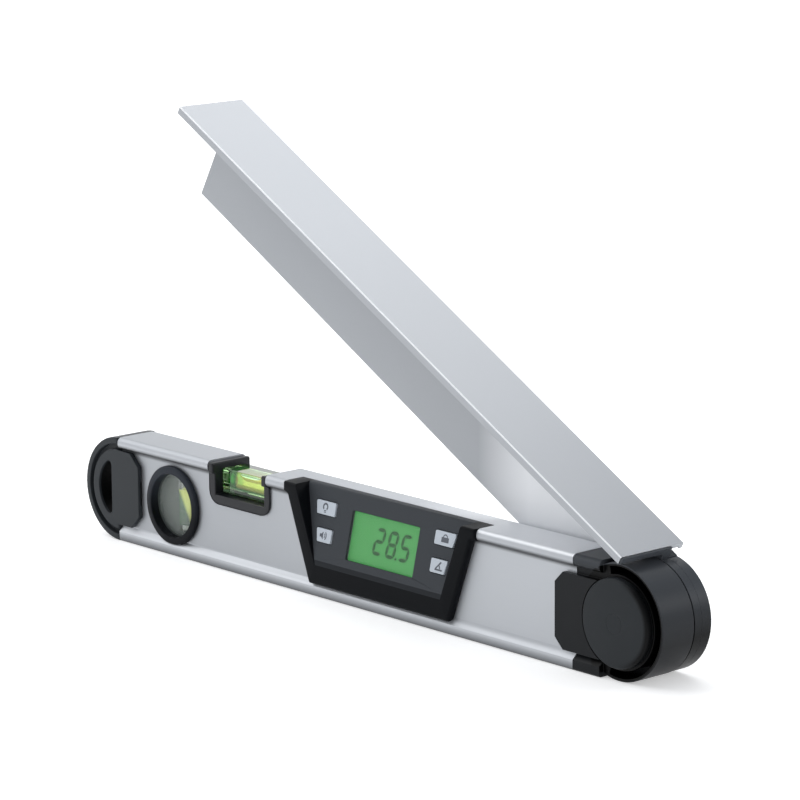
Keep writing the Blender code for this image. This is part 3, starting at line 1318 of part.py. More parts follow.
def make_arm_hub(arm):
    """Hub disc with a bridge under the flange, its cover, and the screws that join them."""
    pivot = (0.0, 0.0, 0.0)
    washer_back = HOUSING_BACK + GAP + WASHER_THICKNESS + GAP
    hub = cylinder(
        "arm_hub", pivot, HUB_RADIUS, HUB_FRONT, HUB_BACK, "Y", arm, "dark_plastic", LARGE_STEPS,
    )
    bridge_top = FLANGE_PLATE - GAP
    bridge_front = FLANGE_FRONT + FLANGE_LIP_WIDTH + GAP
    neck = box(
        "hub_neck", (-HUB_START - HUB_NECK_LENGTH, HUB_FRONT, FLANGE_BOTTOM - HUB_NECK_DROP),
        (-HUB_START, HUB_BACK, bridge_top), arm,
    )
    bridge = box(
        "hub_bridge", (-HUB_START - BRIDGE_LENGTH, bridge_front, FLANGE_BOTTOM),
        (-HUB_START, HUB_BACK, bridge_top), arm,
    )
    end_wall = box(
        "hub_end_wall", (-HUB_START - HUB_END_WALL, FLANGE_FRONT + GAP, FLANGE_BOTTOM),
        (-HUB_START, HUB_BACK, FLANGE_TOP - GAP), arm,
    )
    web_pocket = box(
        "hub_web_pocket", (-ARM_LENGTH, ARM_WEB_FRONT - GAP, -ARM_WEB_DROP - GAP),
        (-HUB_START - HUB_END_WALL, HUB_BACK + OVERRUN, FLANGE_TOP), arm,
    )
    washer_pocket = cylinder(
        "hub_washer_pocket", pivot, WASHER_RADIUS + GAP, HUB_FRONT - OVERRUN, washer_back, "Y", arm,
        steps=MEDIUM_STEPS,
    )
    bore = cylinder(
        "hub_bore", pivot, SHAFT_RADIUS + GAP, HUB_FRONT - OVERRUN, HUB_BACK + OVERRUN, "Y", arm,
        steps=MEDIUM_STEPS,
    )
    stop_z = HINGE_Z + GAP
    corner_x = -HUB_START + OVERRUN
    corner_z = FLANGE_BOTTOM - OVERRUN
    sine = math.sin(OPEN_ANGLE)
    cosine = math.cos(OPEN_ANGLE)
    stop_chamfer = prism(
        "hub_stop_chamfer",
        [
            (corner_x, corner_z), (corner_x, (corner_x * sine - stop_z) / cosine),
            ((corner_z * cosine + stop_z) / sine, corner_z),
        ],
        FLANGE_FRONT - OVERRUN, HOUSING_BACK, "Y", arm,
    )
    join(hub, neck, bridge, end_wall)
    hub_holes = [
        screw_hole(f"hub_hole_{index}", place, HUB_FRONT - OVERRUN, HUB_BACK + OVERRUN, "Y", arm)
        for index, place in enumerate(hub_screw_places())
    ]
    cut(hub, web_pocket, washer_pocket, bore, stop_chamfer, *hub_holes)
    make_hub_cover(arm, bridge_top - COVER_LOBE_DROP)


def make_hub_cover(arm, top):
    """Cover at the back of the hub with a lobe over the arm's web, and its screws."""
    pivot = (0.0, 0.0, 0.0)
    cover = cylinder(
        "hub_cover", pivot, HUB_RADIUS, COVER_FRONT, COVER_BACK, "Y", arm, "dark_plastic", LARGE_STEPS,
    )
    lobe = prism(
        "cover_lobe",
        rounded([
            (-HUB_START, top, 0.0), (-COVER_LOBE_REACH, top, COVER_LOBE_RADIUS),
            (-COVER_LOBE_REACH, -ARM_WEB_DROP, COVER_LOBE_RADIUS), (-HUB_START, -ARM_WEB_DROP, 0.0),
        ]),
        COVER_FRONT, COVER_BACK, "Y", arm,
    )
    join(cover, lobe)
    openings = [cylinder(
        "cover_head_room", pivot, SHAFT_HEAD_RADIUS + GAP, COVER_FRONT - OVERRUN,
        COVER_FRONT + SHAFT_HEAD_THICKNESS + GAP, "Y", arm, steps=MEDIUM_STEPS,
    )]
    seat = COVER_BACK - SCREW_HEAD_HEIGHT - GAP
    screws = [("hub_screw", index, place, HUB_FRONT) for index, place in enumerate(hub_screw_places())]
    screws += [("web_screw", index, place, ARM_WEB_FRONT) for index, place in enumerate(web_screw_places())]
    for name, index, place, end in screws:
        openings.append(screw_hole(f"{name}_hole_{index}", place, COVER_FRONT - OVERRUN, seat, "Y", arm))
        openings.append(cylinder(
            f"{name}_sink_{index}", place, SCREW_HEAD_RADIUS + GAP, seat - GAP, COVER_BACK + OVERRUN, "Y",
            arm,
        ))
        screw(f"{name}_{index + 1}", place, seat, 1, "Y", arm, seat - end - GAP)
    cut(cover, *openings)


def make_end_screws(body):
    """Screws through the back web into the end cap and the hinge housing."""
    for name, places in end_screw_places().items():
        for index, (x, z) in enumerate(places):
            screw(f"{name}_{index + 1}", (x, 0.0, z), BACK_WEB + GAP, 1, "Y", body)


def build():
    """Make every piece of the level."""
    clear_scene()
    body = frame_empty("body_frame", (-BODY_LENGTH / 2, -BODY_DEPTH / 2, 0.0))
    arm = frame_empty("arm_frame", (HINGE_X, 0.0, HINGE_Z), (0.0, REST_ANGLE, 0.0), body)
    panel = frame_empty(
        "panel_frame", (CONSOLE_X, PANEL_FOOT_Y, PANEL_FOOT_Z), (math.pi / 2 - PANEL_LEAN, 0.0, 0.0), body,
    )
    make_body_extrusion(body)
    make_end_cap(body)
    make_plumb_vial(body)
    make_level_vial(body)
    make_console(body, panel)
    make_display_and_board(panel)
    make_battery_bay(body)
    make_hinge_housing(body)
    make_hinge_inside(body, arm)
    make_arm_profile(arm)
    make_arm_hub(arm)
    make_end_screws(body)


build()
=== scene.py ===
"""Digital angle finder level with a folding arm: the finish and fine form of every piece.

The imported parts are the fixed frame, in metres: +X runs along the body to the hinge, +Y from
the display side to the back, +Z up, from the centre of the flat base.
"""
import math

import bmesh
import bpy
from mathutils import Matrix, Vector


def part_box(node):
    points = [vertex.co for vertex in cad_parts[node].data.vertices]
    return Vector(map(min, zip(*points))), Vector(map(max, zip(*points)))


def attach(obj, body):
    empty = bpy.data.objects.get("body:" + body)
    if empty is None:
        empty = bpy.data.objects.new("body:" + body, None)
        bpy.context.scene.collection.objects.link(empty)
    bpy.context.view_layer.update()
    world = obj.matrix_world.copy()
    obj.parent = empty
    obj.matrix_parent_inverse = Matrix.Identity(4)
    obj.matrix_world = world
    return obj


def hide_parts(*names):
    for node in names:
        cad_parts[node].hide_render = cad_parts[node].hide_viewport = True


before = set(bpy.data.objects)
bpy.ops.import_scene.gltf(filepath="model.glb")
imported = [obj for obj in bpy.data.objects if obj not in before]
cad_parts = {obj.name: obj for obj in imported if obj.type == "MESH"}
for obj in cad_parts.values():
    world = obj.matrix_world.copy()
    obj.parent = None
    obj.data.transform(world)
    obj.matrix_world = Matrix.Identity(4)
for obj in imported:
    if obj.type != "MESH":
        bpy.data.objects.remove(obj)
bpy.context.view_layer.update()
scene = bpy.context.scene

# Studio: a pale sweep of floor under soft light. A wide softbox hangs at the upper left, where
# the rails catch it, a lower one stands behind the left end, and the sky fills the rest.
CAMERA_PLACE = (1.519, -1.3105, 0.5274)
CAMERA_RIGHT = (0.66448, 0.74727, -0.00669)
CAMERA_UP = (-0.14866, 0.14095, 0.97879)
CAMERA_BACK = (0.73237, -0.6494, 0.20475)
CAMERA_LENS = 173.55
FLOOR_HALF = 9.0
FLOOR_SHADE = 0.9
FLOOR_GLOW = 0.42
SKY_COLOUR = (0.93, 0.96, 1.0)
SKY_STRENGTH = 0.5
SOFTBOXES = {
    "softbox_left": ((-1.9, -0.9, 1.9), (3.2, 3.2), 50.0),
    "softbox_back": ((-2.4, 2.2, 0.7), (3.2, 1.6), 15.8),
    "softbox_flange": ((-0.345, 0.65, 0.96), (0.75, 0.75), 3.7),
    "softbox_top": ((0.0, 0.6, 2.4), (2.0, 1.4), 5.3),
    "softbox_right": ((1.7, 1.7, 0.95), (1.2, 0.7), 10.0),
}
STUDIO_AIM = Vector((0.0, 0.0, 0.08))


def placed(name, data):
    """Object of a mesh, light or camera, in the scene."""
    item = bpy.data.objects.new(name, data)
    scene.collection.objects.link(item)
    return item


camera = placed("camera", bpy.data.cameras.new("camera"))
camera.matrix_world = Matrix([
    *zip(CAMERA_RIGHT, CAMERA_UP, CAMERA_BACK, CAMERA_PLACE), (0.0, 0.0, 0.0, 1.0),
])
camera.data.lens = CAMERA_LENS
camera.data.clip_end = FLOOR_HALF * 4
scene.camera = camera

for name, (place, size, power) in SOFTBOXES.items():
    light = bpy.data.lights.new(name, "AREA")
    light.shape = "RECTANGLE"
    light.size, light.size_y = size
    light.energy = power
    lamp = placed(name, light)
    lamp.location = place
    lamp.rotation_mode = "QUATERNION"
    lamp.rotation_quaternion = (STUDIO_AIM - Vector(place)).to_track_quat("-Z", "Y")

sky = bpy.data.worlds.new("sky")
sky.use_nodes = True
sky.node_tree.nodes["Background"].inputs["Color"].default_value = (*SKY_COLOUR, 1.0)
sky.node_tree.nodes["Background"].inputs["Strength"].default_value = SKY_STRENGTH
scene.world = sky
scene.view_settings.view_transform = "Standard"

floor_mesh = bpy.data.meshes.new("floor")
floor_mesh.from_pydata(
    [(x * FLOOR_HALF, y * FLOOR_HALF, 0.0) for x, y in ((-1, -1), (1, -1), (1, 1), (-1, 1))],
    [], [(0, 1, 2, 3)],
)
floor = placed("floor", floor_mesh)
floor_paint = bpy.data.materials.new("floor_paint")
floor_paint.use_nodes = True
for socket, value in (
    ("Base Color", (FLOOR_SHADE, FLOOR_SHADE, FLOOR_SHADE, 1.0)), ("Roughness", 1.0),
    ("Specular IOR Level", 0.0), ("Emission Color", (1.0, 1.0, 1.0, 1.0)),
    ("Emission Strength", FLOOR_GLOW),
):
    floor_paint.node_tree.nodes["Principled BSDF"].inputs[socket].default_value = value
floor_mesh.materials.append(floor_paint)


# Body extrusion: a hollow aluminium profile with a rounded rail along the top and bottom of each
# side, satin anodised. It is sawn to length, then milled for the vials, console and batteries.
CORNER = Vector((-0.185, -0.01375, 0.0))
BODY_LENGTH = 0.370
BODY_HEIGHT = 0.060
BODY_DEPTH = 0.0275
RAIL_STEP = 0.003
BOTTOM_RAIL = 0.0085
SHOULDER_Z = BODY_HEIGHT - 0.0067
BASE_RADIUS = 0.0015
BEVEL_RADIUS = 0.0008
NOSE_RADIUS = 0.00288
WALL = 0.002
DECK = 0.0024
NOTCH_X = 0.081
NOTCH_WIDTH = 0.050
NOTCH_DEPTH = 0.023
NOTCH_RADIUS = 0.0065
PLUMB_X = 0.0475
PLUMB_Z = 0.0285
PLUMB_HOLE = 0.0205
CONSOLE_X = 0.2234
CONSOLE_BASE_Z = 0.007
CONSOLE_BASE_HALF = 0.0555
CONSOLE_SHOULDER_HALF = 0.0724
CONSOLE_SLOPE = (CONSOLE_SHOULDER_HALF - CONSOLE_BASE_HALF) / (SHOULDER_Z - CONSOLE_BASE_Z)
CONSOLE_HEAD_HALF = 0.0758
CONSOLE_HEAD_DEPTH = 0.013
CONSOLE_LAP = 0.003
CONSOLE_NECK_Z = 0.012
CONSOLE_NECK_DEPTH = 0.007
BATTERY_LAP = 0.0017
BATTERY_MILLED = (0.0086, 0.02)
MOULD_FIT = 0.0003
MILLED_EDGE = 0.00015
WELD = MILLED_EDGE / 10
OVERRUN = 0.002
ROUND_STEPS = 8
SHARP_ANGLE = math.radians(50.0)
SATIN_COLOUR = (0.46, 0.477, 0.503)
SATIN_ROUGHNESS = 0.44
# Colour of the painted highlight, and the spans over which the body's painted shade and painted
# highlights come and go.
PAINTED_HIGHLIGHT_COLOUR = (0.90, 0.915, 0.94)
TOP_LIT = (0.0580, 0.0592)
WEB_SPAN = (0.0092, 0.0525)
FOOT_SHADE = (0.0003, 0.0046)
RAIL_SHADE = (0.0512, 0.0530, 0.0542, 0.0562)
BEVEL_LIT = (0.0036, 0.0052, 0.0078, 0.0090)
FAR_END = (-0.07, 0.05)
HINGE_END = (0.05, 0.125)


class Wire:
    """One output socket of a node tree; sums and products of wires add Math nodes."""

    def __init__(self, tree, socket):
        self.tree = tree
        self.socket = socket

    def node(self, kind, inputs=None, output=0, **settings):
        """Node of any kind, with the values or wires of its sockets, and its settings."""
        return add_node(self.tree, kind, inputs, output, **settings)

    def then(self, kind, inputs=None, **settings):
        """Geometry node that takes this wire in first."""
        return self.node("GeometryNode" + kind, {0: self, **(inputs or {})}, **settings)

    def math(self, operation, first, second=0.0):
        return self.node("ShaderNodeMath", {0: first, 1: second}, operation=operation)

    def __add__(self, other):
        return self.math("ADD", self, other)

    def __sub__(self, other):
        return self.math("SUBTRACT", self, other)

    def __rsub__(self, other):
        return self.math("SUBTRACT", other, self)

    def __abs__(self):
        return self.math("ABSOLUTE", self)

    def __mul__(self, other):
        return self.math("MULTIPLY", self, other)

    def __gt__(self, other):
        return self.math("GREATER_THAN", self, other)

    def __lt__(self, other):
        return self.math("LESS_THAN", self, other)

    __radd__ = __add__
    __rmul__ = __mul__

    def part(self, axis):
        """X, Y or Z of a vector."""
        return self.node("ShaderNodeSeparateXYZ", {0: self}, "XYZ".index(axis))

    def between(self, low, high):
        """0 to 1 as this wire goes from low to high."""
        return self.node("ShaderNodeMapRange", {0: self, 1: low, 2: high})

    def ramp(self, axis, low, high):
        """0 to 1 as one part of a place goes from low to high."""
        return self.part(axis).between(low, high)

    def stripe(self, axis, low, high, fall, end):
        """0 to 1 as one part of a place goes from low to high, and back from fall to end."""
        return self.ramp(axis, low, high) * (1 - self.ramp(axis, fall, end))

    def noise(self, scale, detail=2.0, stretch=(1.0, 1.0, 1.0), turn=0.0):
        """Noise over a place in metres, stretched, and turned about Y for a piece of the arm."""
        spot = self.node(
            "ShaderNodeMapping", {0: self, "Scale": stretch, "Rotation": (0.0, turn, 0.0)},
        )
        return self.node("ShaderNodeTexNoise", {0: spot, "Scale": scale, "Detail": detail})

    def blend(self, low, high):
        """Colour between low and high by this wire."""
        return self.mixed((*low, 1.0), high)

    def mixed(self, low, high):
        """Colour between a wire or colour and another colour by this wire."""
        return self.node("ShaderNodeMix", {0: self, 6: low, 7: (*high, 1.0)}, 2, data_type="RGBA")


def add_node(tree, kind, inputs=None, output=0, **settings):
    """Node of a tree with its settings, then its inputs; the wire of one of its outputs."""
    node = tree.nodes.new(kind)
    for key, value in settings.items():
        setattr(node, key, value)
    for key, value in (inputs or {}).items():
        if isinstance(value, Wire):
            tree.links.new(value.socket, node.inputs[key])
        else:
            node.inputs[key].default_value = value
    return Wire(tree, node.outputs[output])


class Finish:
    """Material of one surface: what varies comes in as wires, the rest as plain numbers."""

    def __init__(self, name, shine=0.5, **plain):
        self.material = bpy.data.materials.new(name)
        self.material.use_nodes = True
        self.tree = self.material.node_tree
        self.shader = self.tree.nodes["Principled BSDF"]
        self.place = add_node(self.tree, "ShaderNodeTexCoord", output=3)
        self.set("Specular IOR Level", shine)
        for key, value in plain.items():
            self.set("IOR" if key == "ior" else key.replace("_", " ").title(), value)

    def set(self, socket, value):
        """Set or link one socket of the shader."""
        if isinstance(value, Wire):
            self.tree.links.new(value.socket, self.shader.inputs[socket])
        else:
            self.shader.inputs[socket].default_value = value

    def relief(self, height, depth):
        """Bump of that depth in metres from a height between 0 and 1."""
        self.set("Normal", height.node("ShaderNodeBump", {"Height": height, "Distance": depth}))


def toned(colour, factor):
    """Colour made lighter or darker by a factor."""
    return tuple(channel * factor for channel in colour)


def satin(name, colour, light, turn=0.0):
    """Satin anodised aluminium, etched over faint lines; light gives its masks of painted shade and
    painted highlight.
    """
    made = Finish(name)
    lines = made.place.noise(900.0, 3.0, (0.006, 1.0, 1.0), turn)
    etch = made.place.noise(5200.0)
    cloud = made.place.noise(14.0, 2.0, (1.0, 1.0, 1.0), turn)
    shade = (lines * 0.6 + cloud * 0.4).blend(toned(colour, 0.965), toned(colour, 1.035))
    dark, bright = light(made.place)
    # Where a highlight is painted the metal is made lighter and less metallic; where shade is
    # painted it is darkened.
    made.set("Metallic", 0.82 - bright * 0.42)
    made.set("Base Color", dark.mixed(bright.mixed(shade, PAINTED_HIGHLIGHT_COLOUR), toned(colour, 0.05)))
    made.set("Roughness", etch * 0.05 + lines * 0.05 + SATIN_ROUGHNESS)
    made.relief(etch * 0.4 + lines * 0.6, 0.000012)
    return made.material


def body_painted_light(place):
    """Painted shade on the foot, in a line under the rail and at the far end; painted highlight on
    the bevel, and on the top and web near the hinge.
    """
    height = place.part("Z")
    top = place.ramp("Z", *TOP_LIT)
    on_web = (height > WEB_SPAN[0]) * (height < WEB_SPAN[1])
    foot = (1 - place.ramp("Z", *FOOT_SHADE)) * 0.8
    far_end = (1 - place.ramp("X", *FAR_END)) * (on_web + top) * 0.12
    dark = foot + place.stripe("Z", *RAIL_SHADE) * 0.85 + far_end
    near_hinge = place.ramp("X", *HINGE_END) * (top * 0.8 + on_web * 0.08)
    return dark, near_hinge + place.stripe("Z", *BEVEL_LIT) * 0.14


def fillet(corners, steps):
    """Outline from (u, v, radius) corners, each rounded with its radius."""
    outline = []
    for index, (u, v, radius) in enumerate(corners):
        here = Vector((u, v))
        if not radius:
            outline.append((u, v))
            continue
        back = (Vector(corners[index - 1][:2]) - here).normalized()
        forward = (Vector(corners[(index + 1) % len(corners)][:2]) - here).normalized()
        half = back.angle(forward) / 2
        centre = here + (back + forward).normalized() * radius / math.sin(half)
        first = here + back * radius / math.tan(half) - centre
        last = here + forward * radius / math.tan(half) - centre
        sweep = first.angle_signed(last)
        for step in range(steps + 1):
            turn = -sweep * step / steps
            outline.append((
                centre.x + first.x * math.cos(turn) - first.y * math.sin(turn),
                centre.y + first.x * math.sin(turn) + first.y * math.cos(turn),
            ))
    return outline


PLANES = {
    "X": lambda u, v, along: (along, u, v),
    "Y": lambda u, v, along: (u, along, v),
    "Z": lambda u, v, along: (u, v, along),
}


def add_prism(shape, outline, low, high, axis):
    """Add the solid between two heights along an axis, from the outline in the other two."""
    rings = [
        [shape.verts.new(PLANES[axis](u, v, along)) for u, v in outline] for along in (low, high)
    ]
    for ring in rings:
        shape.faces.new(ring)
    near, far = rings
    for index in range(len(outline)):
        shape.faces.new((near[index - 1], near[index], far[index], far[index - 1]))


def block(name, outline, low, high, axis, place=None):
    """Object of one such solid."""
    shape = bmesh.new()
    add_prism(shape, outline, low, high, axis)
    return formed(name, shape, place)


def lathe(name, profile, centre, axis, steps=96, place=None):
    """Profile of (radius, along) turned about an axis; one that ends on the axis stays open."""
    shape = bmesh.new()
    origin = Vector(centre)
    turn_to = PLANES[axis]
    verts = [
        shape.verts.new(origin + Vector(turn_to(radius, 0.0, along))) for radius, along in profile
    ]
    edges = [shape.edges.new(pair) for pair in zip(verts, verts[1:])]
    if profile[0][0] > 0.0:
        edges.append(shape.edges.new((verts[-1], verts[0])))
    bmesh.ops.spin(
        shape, geom=edges, cent=origin, axis=Vector(turn_to(0.0, 0.0, 1.0)), angle=math.tau,
        steps=steps, use_merge=True,
    )
    bmesh.ops.remove_doubles(shape, verts=shape.verts, dist=WELD / 10)
    return formed(name, shape, place)


def barrel(name, inner, outer, low, high, centre, axis, steps=64, place=None):
    """Rod or tube between two radii and two heights along an axis."""
    profile = [(inner, low), (outer, low), (outer, high), (inner, high)]
    return lathe(name, profile, centre, axis, steps, place)


def formed(name, shape, place=None):
    """Object of a bmesh, faces turned outwards, moved by the place that it is drawn in."""
    bmesh.ops.recalc_face_normals(shape, faces=shape.faces)
    mesh = bpy.data.meshes.new(name)
    shape.to_mesh(mesh)
    shape.free()
    if place is not None:
        mesh.transform(place)
    return placed(name, mesh)


def settled(piece, *helpers):
    """Turn a piece's modifiers into its own plain mesh and remove the helper objects."""
    graph = bpy.context.evaluated_depsgraph_get()
    mesh = bpy.data.meshes.new_from_object(piece.evaluated_get(graph), depsgraph=graph)
    piece.modifiers.clear()
    piece.data = mesh
    for helper in helpers:
        bpy.data.objects.remove(helper)
    return piece


def cut(piece, *others):
    """Cut the other objects, which go, out of a piece."""
    group = bpy.data.collections.new(piece.name + "_cutters")
    for other in others:
        group.objects.link(other)
    step = piece.modifiers.new("cut", "BOOLEAN")
    step.operation = "DIFFERENCE"
    step.operand_type = "COLLECTION"
    step.collection = group
    settled(piece, *others)
    bpy.data.collections.remove(group)


def softened(piece, width, segments=3):
    """Round a piece's sharp edges."""
    step = piece.modifiers.new("soft", "BEVEL")
    step.width = width
    step.segments = segments
    step.limit_method = "ANGLE"
    step.angle_limit = SHARP_ANGLE
    step.use_clamp_overlap = False
    return settled(piece)


def shown(piece, material, slot, *nodes, body="level"):
    """Finish a piece, let it ride on its body, and let it stand for its nodes."""
    piece.data.materials.clear()
    piece.data.materials.append(material)
    piece.data.shade_smooth()
    piece.data.set_sharp_from_angle(angle=SHARP_ANGLE)
    even = piece.modifiers.new("even", "WEIGHTED_NORMAL")
    even.keep_sharp = True
    settled(piece)
    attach(piece, body)
    if nodes:
        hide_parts(*nodes)


def recipe(name, sockets):
    """Empty Geometry Nodes tree with named inputs; the tree and the wires of its inputs."""
    tree = bpy.data.node_groups.new(name, "GeometryNodeTree")
    tree.interface.new_socket("Geometry", in_out="OUTPUT", socket_type="NodeSocketGeometry")
    for socket, kind in sockets.items():
        tree.interface.new_socket(socket, in_out="INPUT", socket_type="NodeSocket" + kind)
    start = tree.nodes.new("NodeGroupInput")
    return tree, {socket: Wire(tree, start.outputs[socket]) for socket in sockets}


def close_recipe(tree, geometry, material):
    """End a tree with real geometry and its material."""
    done = geometry.then("RealizeInstances").then("SetMaterial", {"Material": material})
    tree.links.new(done.socket, tree.nodes.new("NodeGroupOutput").inputs[0])


def grown(piece, tree, **values):
    """Run a tree on a piece with the values of its inputs, and keep the plain mesh."""
    step = piece.modifiers.new(tree.name, "NODES")
    step.node_group = tree
    for item in tree.interface.items_tree:
        if item.in_out == "INPUT" and item.name in values:
            step[item.identifier] = values[item.name]
    return settled(piece)


draw_tree, drawn = recipe(
    "drawn_profile", {"Section": "Geometry", "Run": "Vector", "Surface": "Material"},
)
run = drawn["Section"].then("ExtrudeMesh", {
    "Offset": drawn["Run"], "Offset Scale": 1.0, "Individual": False,
}, mode="FACES")
both = run.then("JoinGeometry")
draw_tree.links.new(drawn["Section"].then("FlipFaces").socket, both.socket.node.inputs[0])
close_recipe(draw_tree, both.then("MergeByDistance", {"Distance": WELD}), drawn["Surface"])


def drawn_bar(name, outline, holes, start, reach, surface, place):
    """Bar of one section (y, z), drawn along X from its start over its reach."""
    shape = bmesh.new()
    edges = []
    for loop in (outline, *holes):
        ring = [shape.verts.new((start, u, v)) for u, v in loop]
        edges += [shape.edges.new((ring[index - 1], ring[index])) for index in range(len(ring))]
    bmesh.ops.triangle_fill(shape, use_beauty=True, edges=edges)
    bar = formed(name, shape, place)
    run_end = place.to_3x3() @ Vector((reach, 0.0, 0.0))
    grown(bar, draw_tree, Run=run_end, Surface=surface)
    turn_out = bmesh.new()
    turn_out.from_mesh(bar.data)
    bmesh.ops.recalc_face_normals(turn_out, faces=turn_out.faces)
    turn_out.to_mesh(bar.data)
    turn_out.free()
    return bar


def rectangle(low, high, radius=0.0, steps=4):
    """Rectangle between two corners, with rounded corners."""
    corners = [(low[0], low[1]), (high[0], low[1]), (high[0], high[1]), (low[0], high[1])]
    return fillet([(*corner, radius) for corner in corners], steps)


AT_BODY = Matrix.Translation(CORNER)
front_side = [
    (0.0, 0.0, BASE_RADIUS), (0.0, BOTTOM_RAIL - RAIL_STEP, BEVEL_RADIUS),
    (RAIL_STEP, BOTTOM_RAIL, 0.0), (RAIL_STEP, SHOULDER_Z, 0.0),
    (0.0, SHOULDER_Z, NOSE_RADIUS), (0.0, BODY_HEIGHT, NOSE_RADIUS),
]
back_side = [(BODY_DEPTH - y, z, radius) for y, z, radius in reversed(front_side)]
inner_y = RAIL_STEP + WALL
hollow = rectangle((inner_y, DECK), (BODY_DEPTH - inner_y, BODY_HEIGHT - DECK))
# The body's satin, with painted shade at its foot, under its rails and at its far end, and painted
# highlights near the hinge and on the bevel.
body_satin = satin("satin_body", SATIN_COLOUR, body_painted_light)
extrusion = drawn_bar(
    "body_profile", fillet(front_side + back_side, ROUND_STEPS), [hollow], 0.0, BODY_LENGTH,
    body_satin, AT_BODY,
)

over_top = BODY_HEIGHT + OVERRUN
through = (-OVERRUN, BODY_DEPTH + OVERRUN)
notch_floor = BODY_HEIGHT - NOTCH_DEPTH
notch_right = NOTCH_X + NOTCH_WIDTH
notch = fillet([
    (NOTCH_X, over_top, 0.0), (NOTCH_X, notch_floor, NOTCH_RADIUS),
    (notch_right, notch_floor, NOTCH_RADIUS), (notch_right, over_top, 0.0),
], ROUND_STEPS)
neck = [
    (CONSOLE_X + side * (CONSOLE_BASE_HALF + (z - CONSOLE_BASE_Z) * CONSOLE_SLOPE - CONSOLE_LAP), z)
    for side, z in ((-1, CONSOLE_NECK_Z), (1, CONSOLE_NECK_Z), (1, over_top), (-1, over_top))
]
head_half = CONSOLE_HEAD_HALF + MOULD_FIT
head = rectangle(
    (CONSOLE_X - head_half, SHOULDER_Z - MOULD_FIT), (CONSOLE_X + head_half, over_top),
)
bay_low, bay_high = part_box("battery_tray")
bay = rectangle(
    (bay_low.x + BATTERY_LAP, bay_low.z + BATTERY_LAP),
    (bay_high.x - BATTERY_LAP, bay_high.z - BATTERY_LAP),
)
cut(
    extrusion,
    block("notch_mill", notch, *through, "Y", AT_BODY),
    barrel("plumb_mill", 0.0, PLUMB_HOLE, *through, (PLUMB_X, 0.0, PLUMB_Z), "Y", 96, AT_BODY),
    block("neck_mill", neck, -OVERRUN, CONSOLE_NECK_DEPTH, "Y", AT_BODY),
    block("head_mill", head, -OVERRUN, CONSOLE_HEAD_DEPTH + MOULD_FIT, "Y", AT_BODY),
    block("battery_mill", bay, *BATTERY_MILLED, "Y"),
)
shown(extrusion, body_satin, "satin_aluminium", "body_extrusion")


# End cap: a half-round moulding in dark grey plastic that closes the body's left end. Its hollow
# plug is screwed inside the profile, and a slot through it hangs the level on a hook.
CAP_COLOUR = (0.027, 0.031, 0.035)
# Near-black painted as shade where the end cap's slot, the hinge's groove, the disc's rim and the
# hub's underside lie in shadow.
PAINTED_SHADE_COLOUR = (0.0006, 0.0007, 0.0008)
MOULD_EDGE = 0.00035
FLAT_FOLD = math.radians(0.5)
SLOT_REACH = 0.0195
SLOT_FACE = 0.0015


def rounded_copy(node, name, width):
    """Copy of a CAD solid, merged into one skin, with every sharp edge rounded."""
    shape = bmesh.new()
    shape.from_mesh(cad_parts[node].data)
    bmesh.ops.remove_doubles(shape, verts=shape.verts, dist=WELD)
    bmesh.ops.dissolve_limit(shape, angle_limit=FLAT_FOLD, verts=shape.verts, edges=shape.edges)
    bmesh.ops.triangulate(shape, faces=[face for face in shape.faces if len(face.verts) > 4])
    return softened(formed(name, shape), width)


def moulding(node, name, material, slot="dark_plastic", width=MOULD_EDGE, body="level"):
    """Rounded copy of a CAD solid, shown in its place."""
    shown(rounded_copy(node, name, width), material, slot, node, body=body)


def from_axis(place, x, z):
    """Square of the distance of a place from an axis along Y."""
    across = place.part("X") - x
    rise = place.part("Z") - z
    return across * across + rise * rise


def ring_round(place, x, z, low, high):
    """1 where a place lies between two radii from an axis along Y."""
    reach = from_axis(place, x, z)
    return (reach > low * low) * (reach < high * high)


def skinned(name, paint, shine, low, spread=0.1, depth=0.00002, grain=2400.0):
    """Moulded plastic with a fine eroded skin; paint gives its colour, low its least roughness."""
    made = Finish(name, shine)
    skin = made.place.noise(grain, 3.0)
    made.set("Base Color", paint(made.place, skin))
    made.set("Roughness", skin * spread + low)
    made.relief(skin, depth)
    return made.material


def moulded(name, colour, low=0.36, shine=0.15, shadow=None, depth=0.000025, grain=2400.0):
    """Plastic of one colour, a little cloudy, with black painted shade where shadow says so."""
    def paint(place, skin):
        cloud = skin * 0.4 + place.noise(45.0) * 0.6
        shade = cloud.blend(toned(colour, 0.9), toned(colour, 1.1))
        return shadow(place).mixed(shade, PAINTED_SHADE_COLOUR) if shadow else shade

    return skinned(name, paint, shine, low, 0.12, depth, grain)


def slot_painted_shade(place):
    """1 on the walls of the hanging slot, behind the cap's faces, where black is painted as shade.
    """
    deep = abs(place.part("Y")) < -CORNER.y - SLOT_FACE
    return ring_round(place, CORNER.x, BODY_HEIGHT / 2, 0.0, SLOT_REACH) * deep


# The cap's plastic, with black painted shade inside its slot.
cap_plastic = moulded("cap_plastic", CAP_COLOUR, shadow=slot_painted_shade)
moulding("end_cap", "end_cap_moulding", cap_plastic)


# Plumb vial: a black sleeve pressed through both webs, with a clear window at each side. A clear
# tube stands upright in it, filled with yellow-green liquid up to its bubble.
SLEEVE_COLOUR = (0.0015, 0.002, 0.0035)
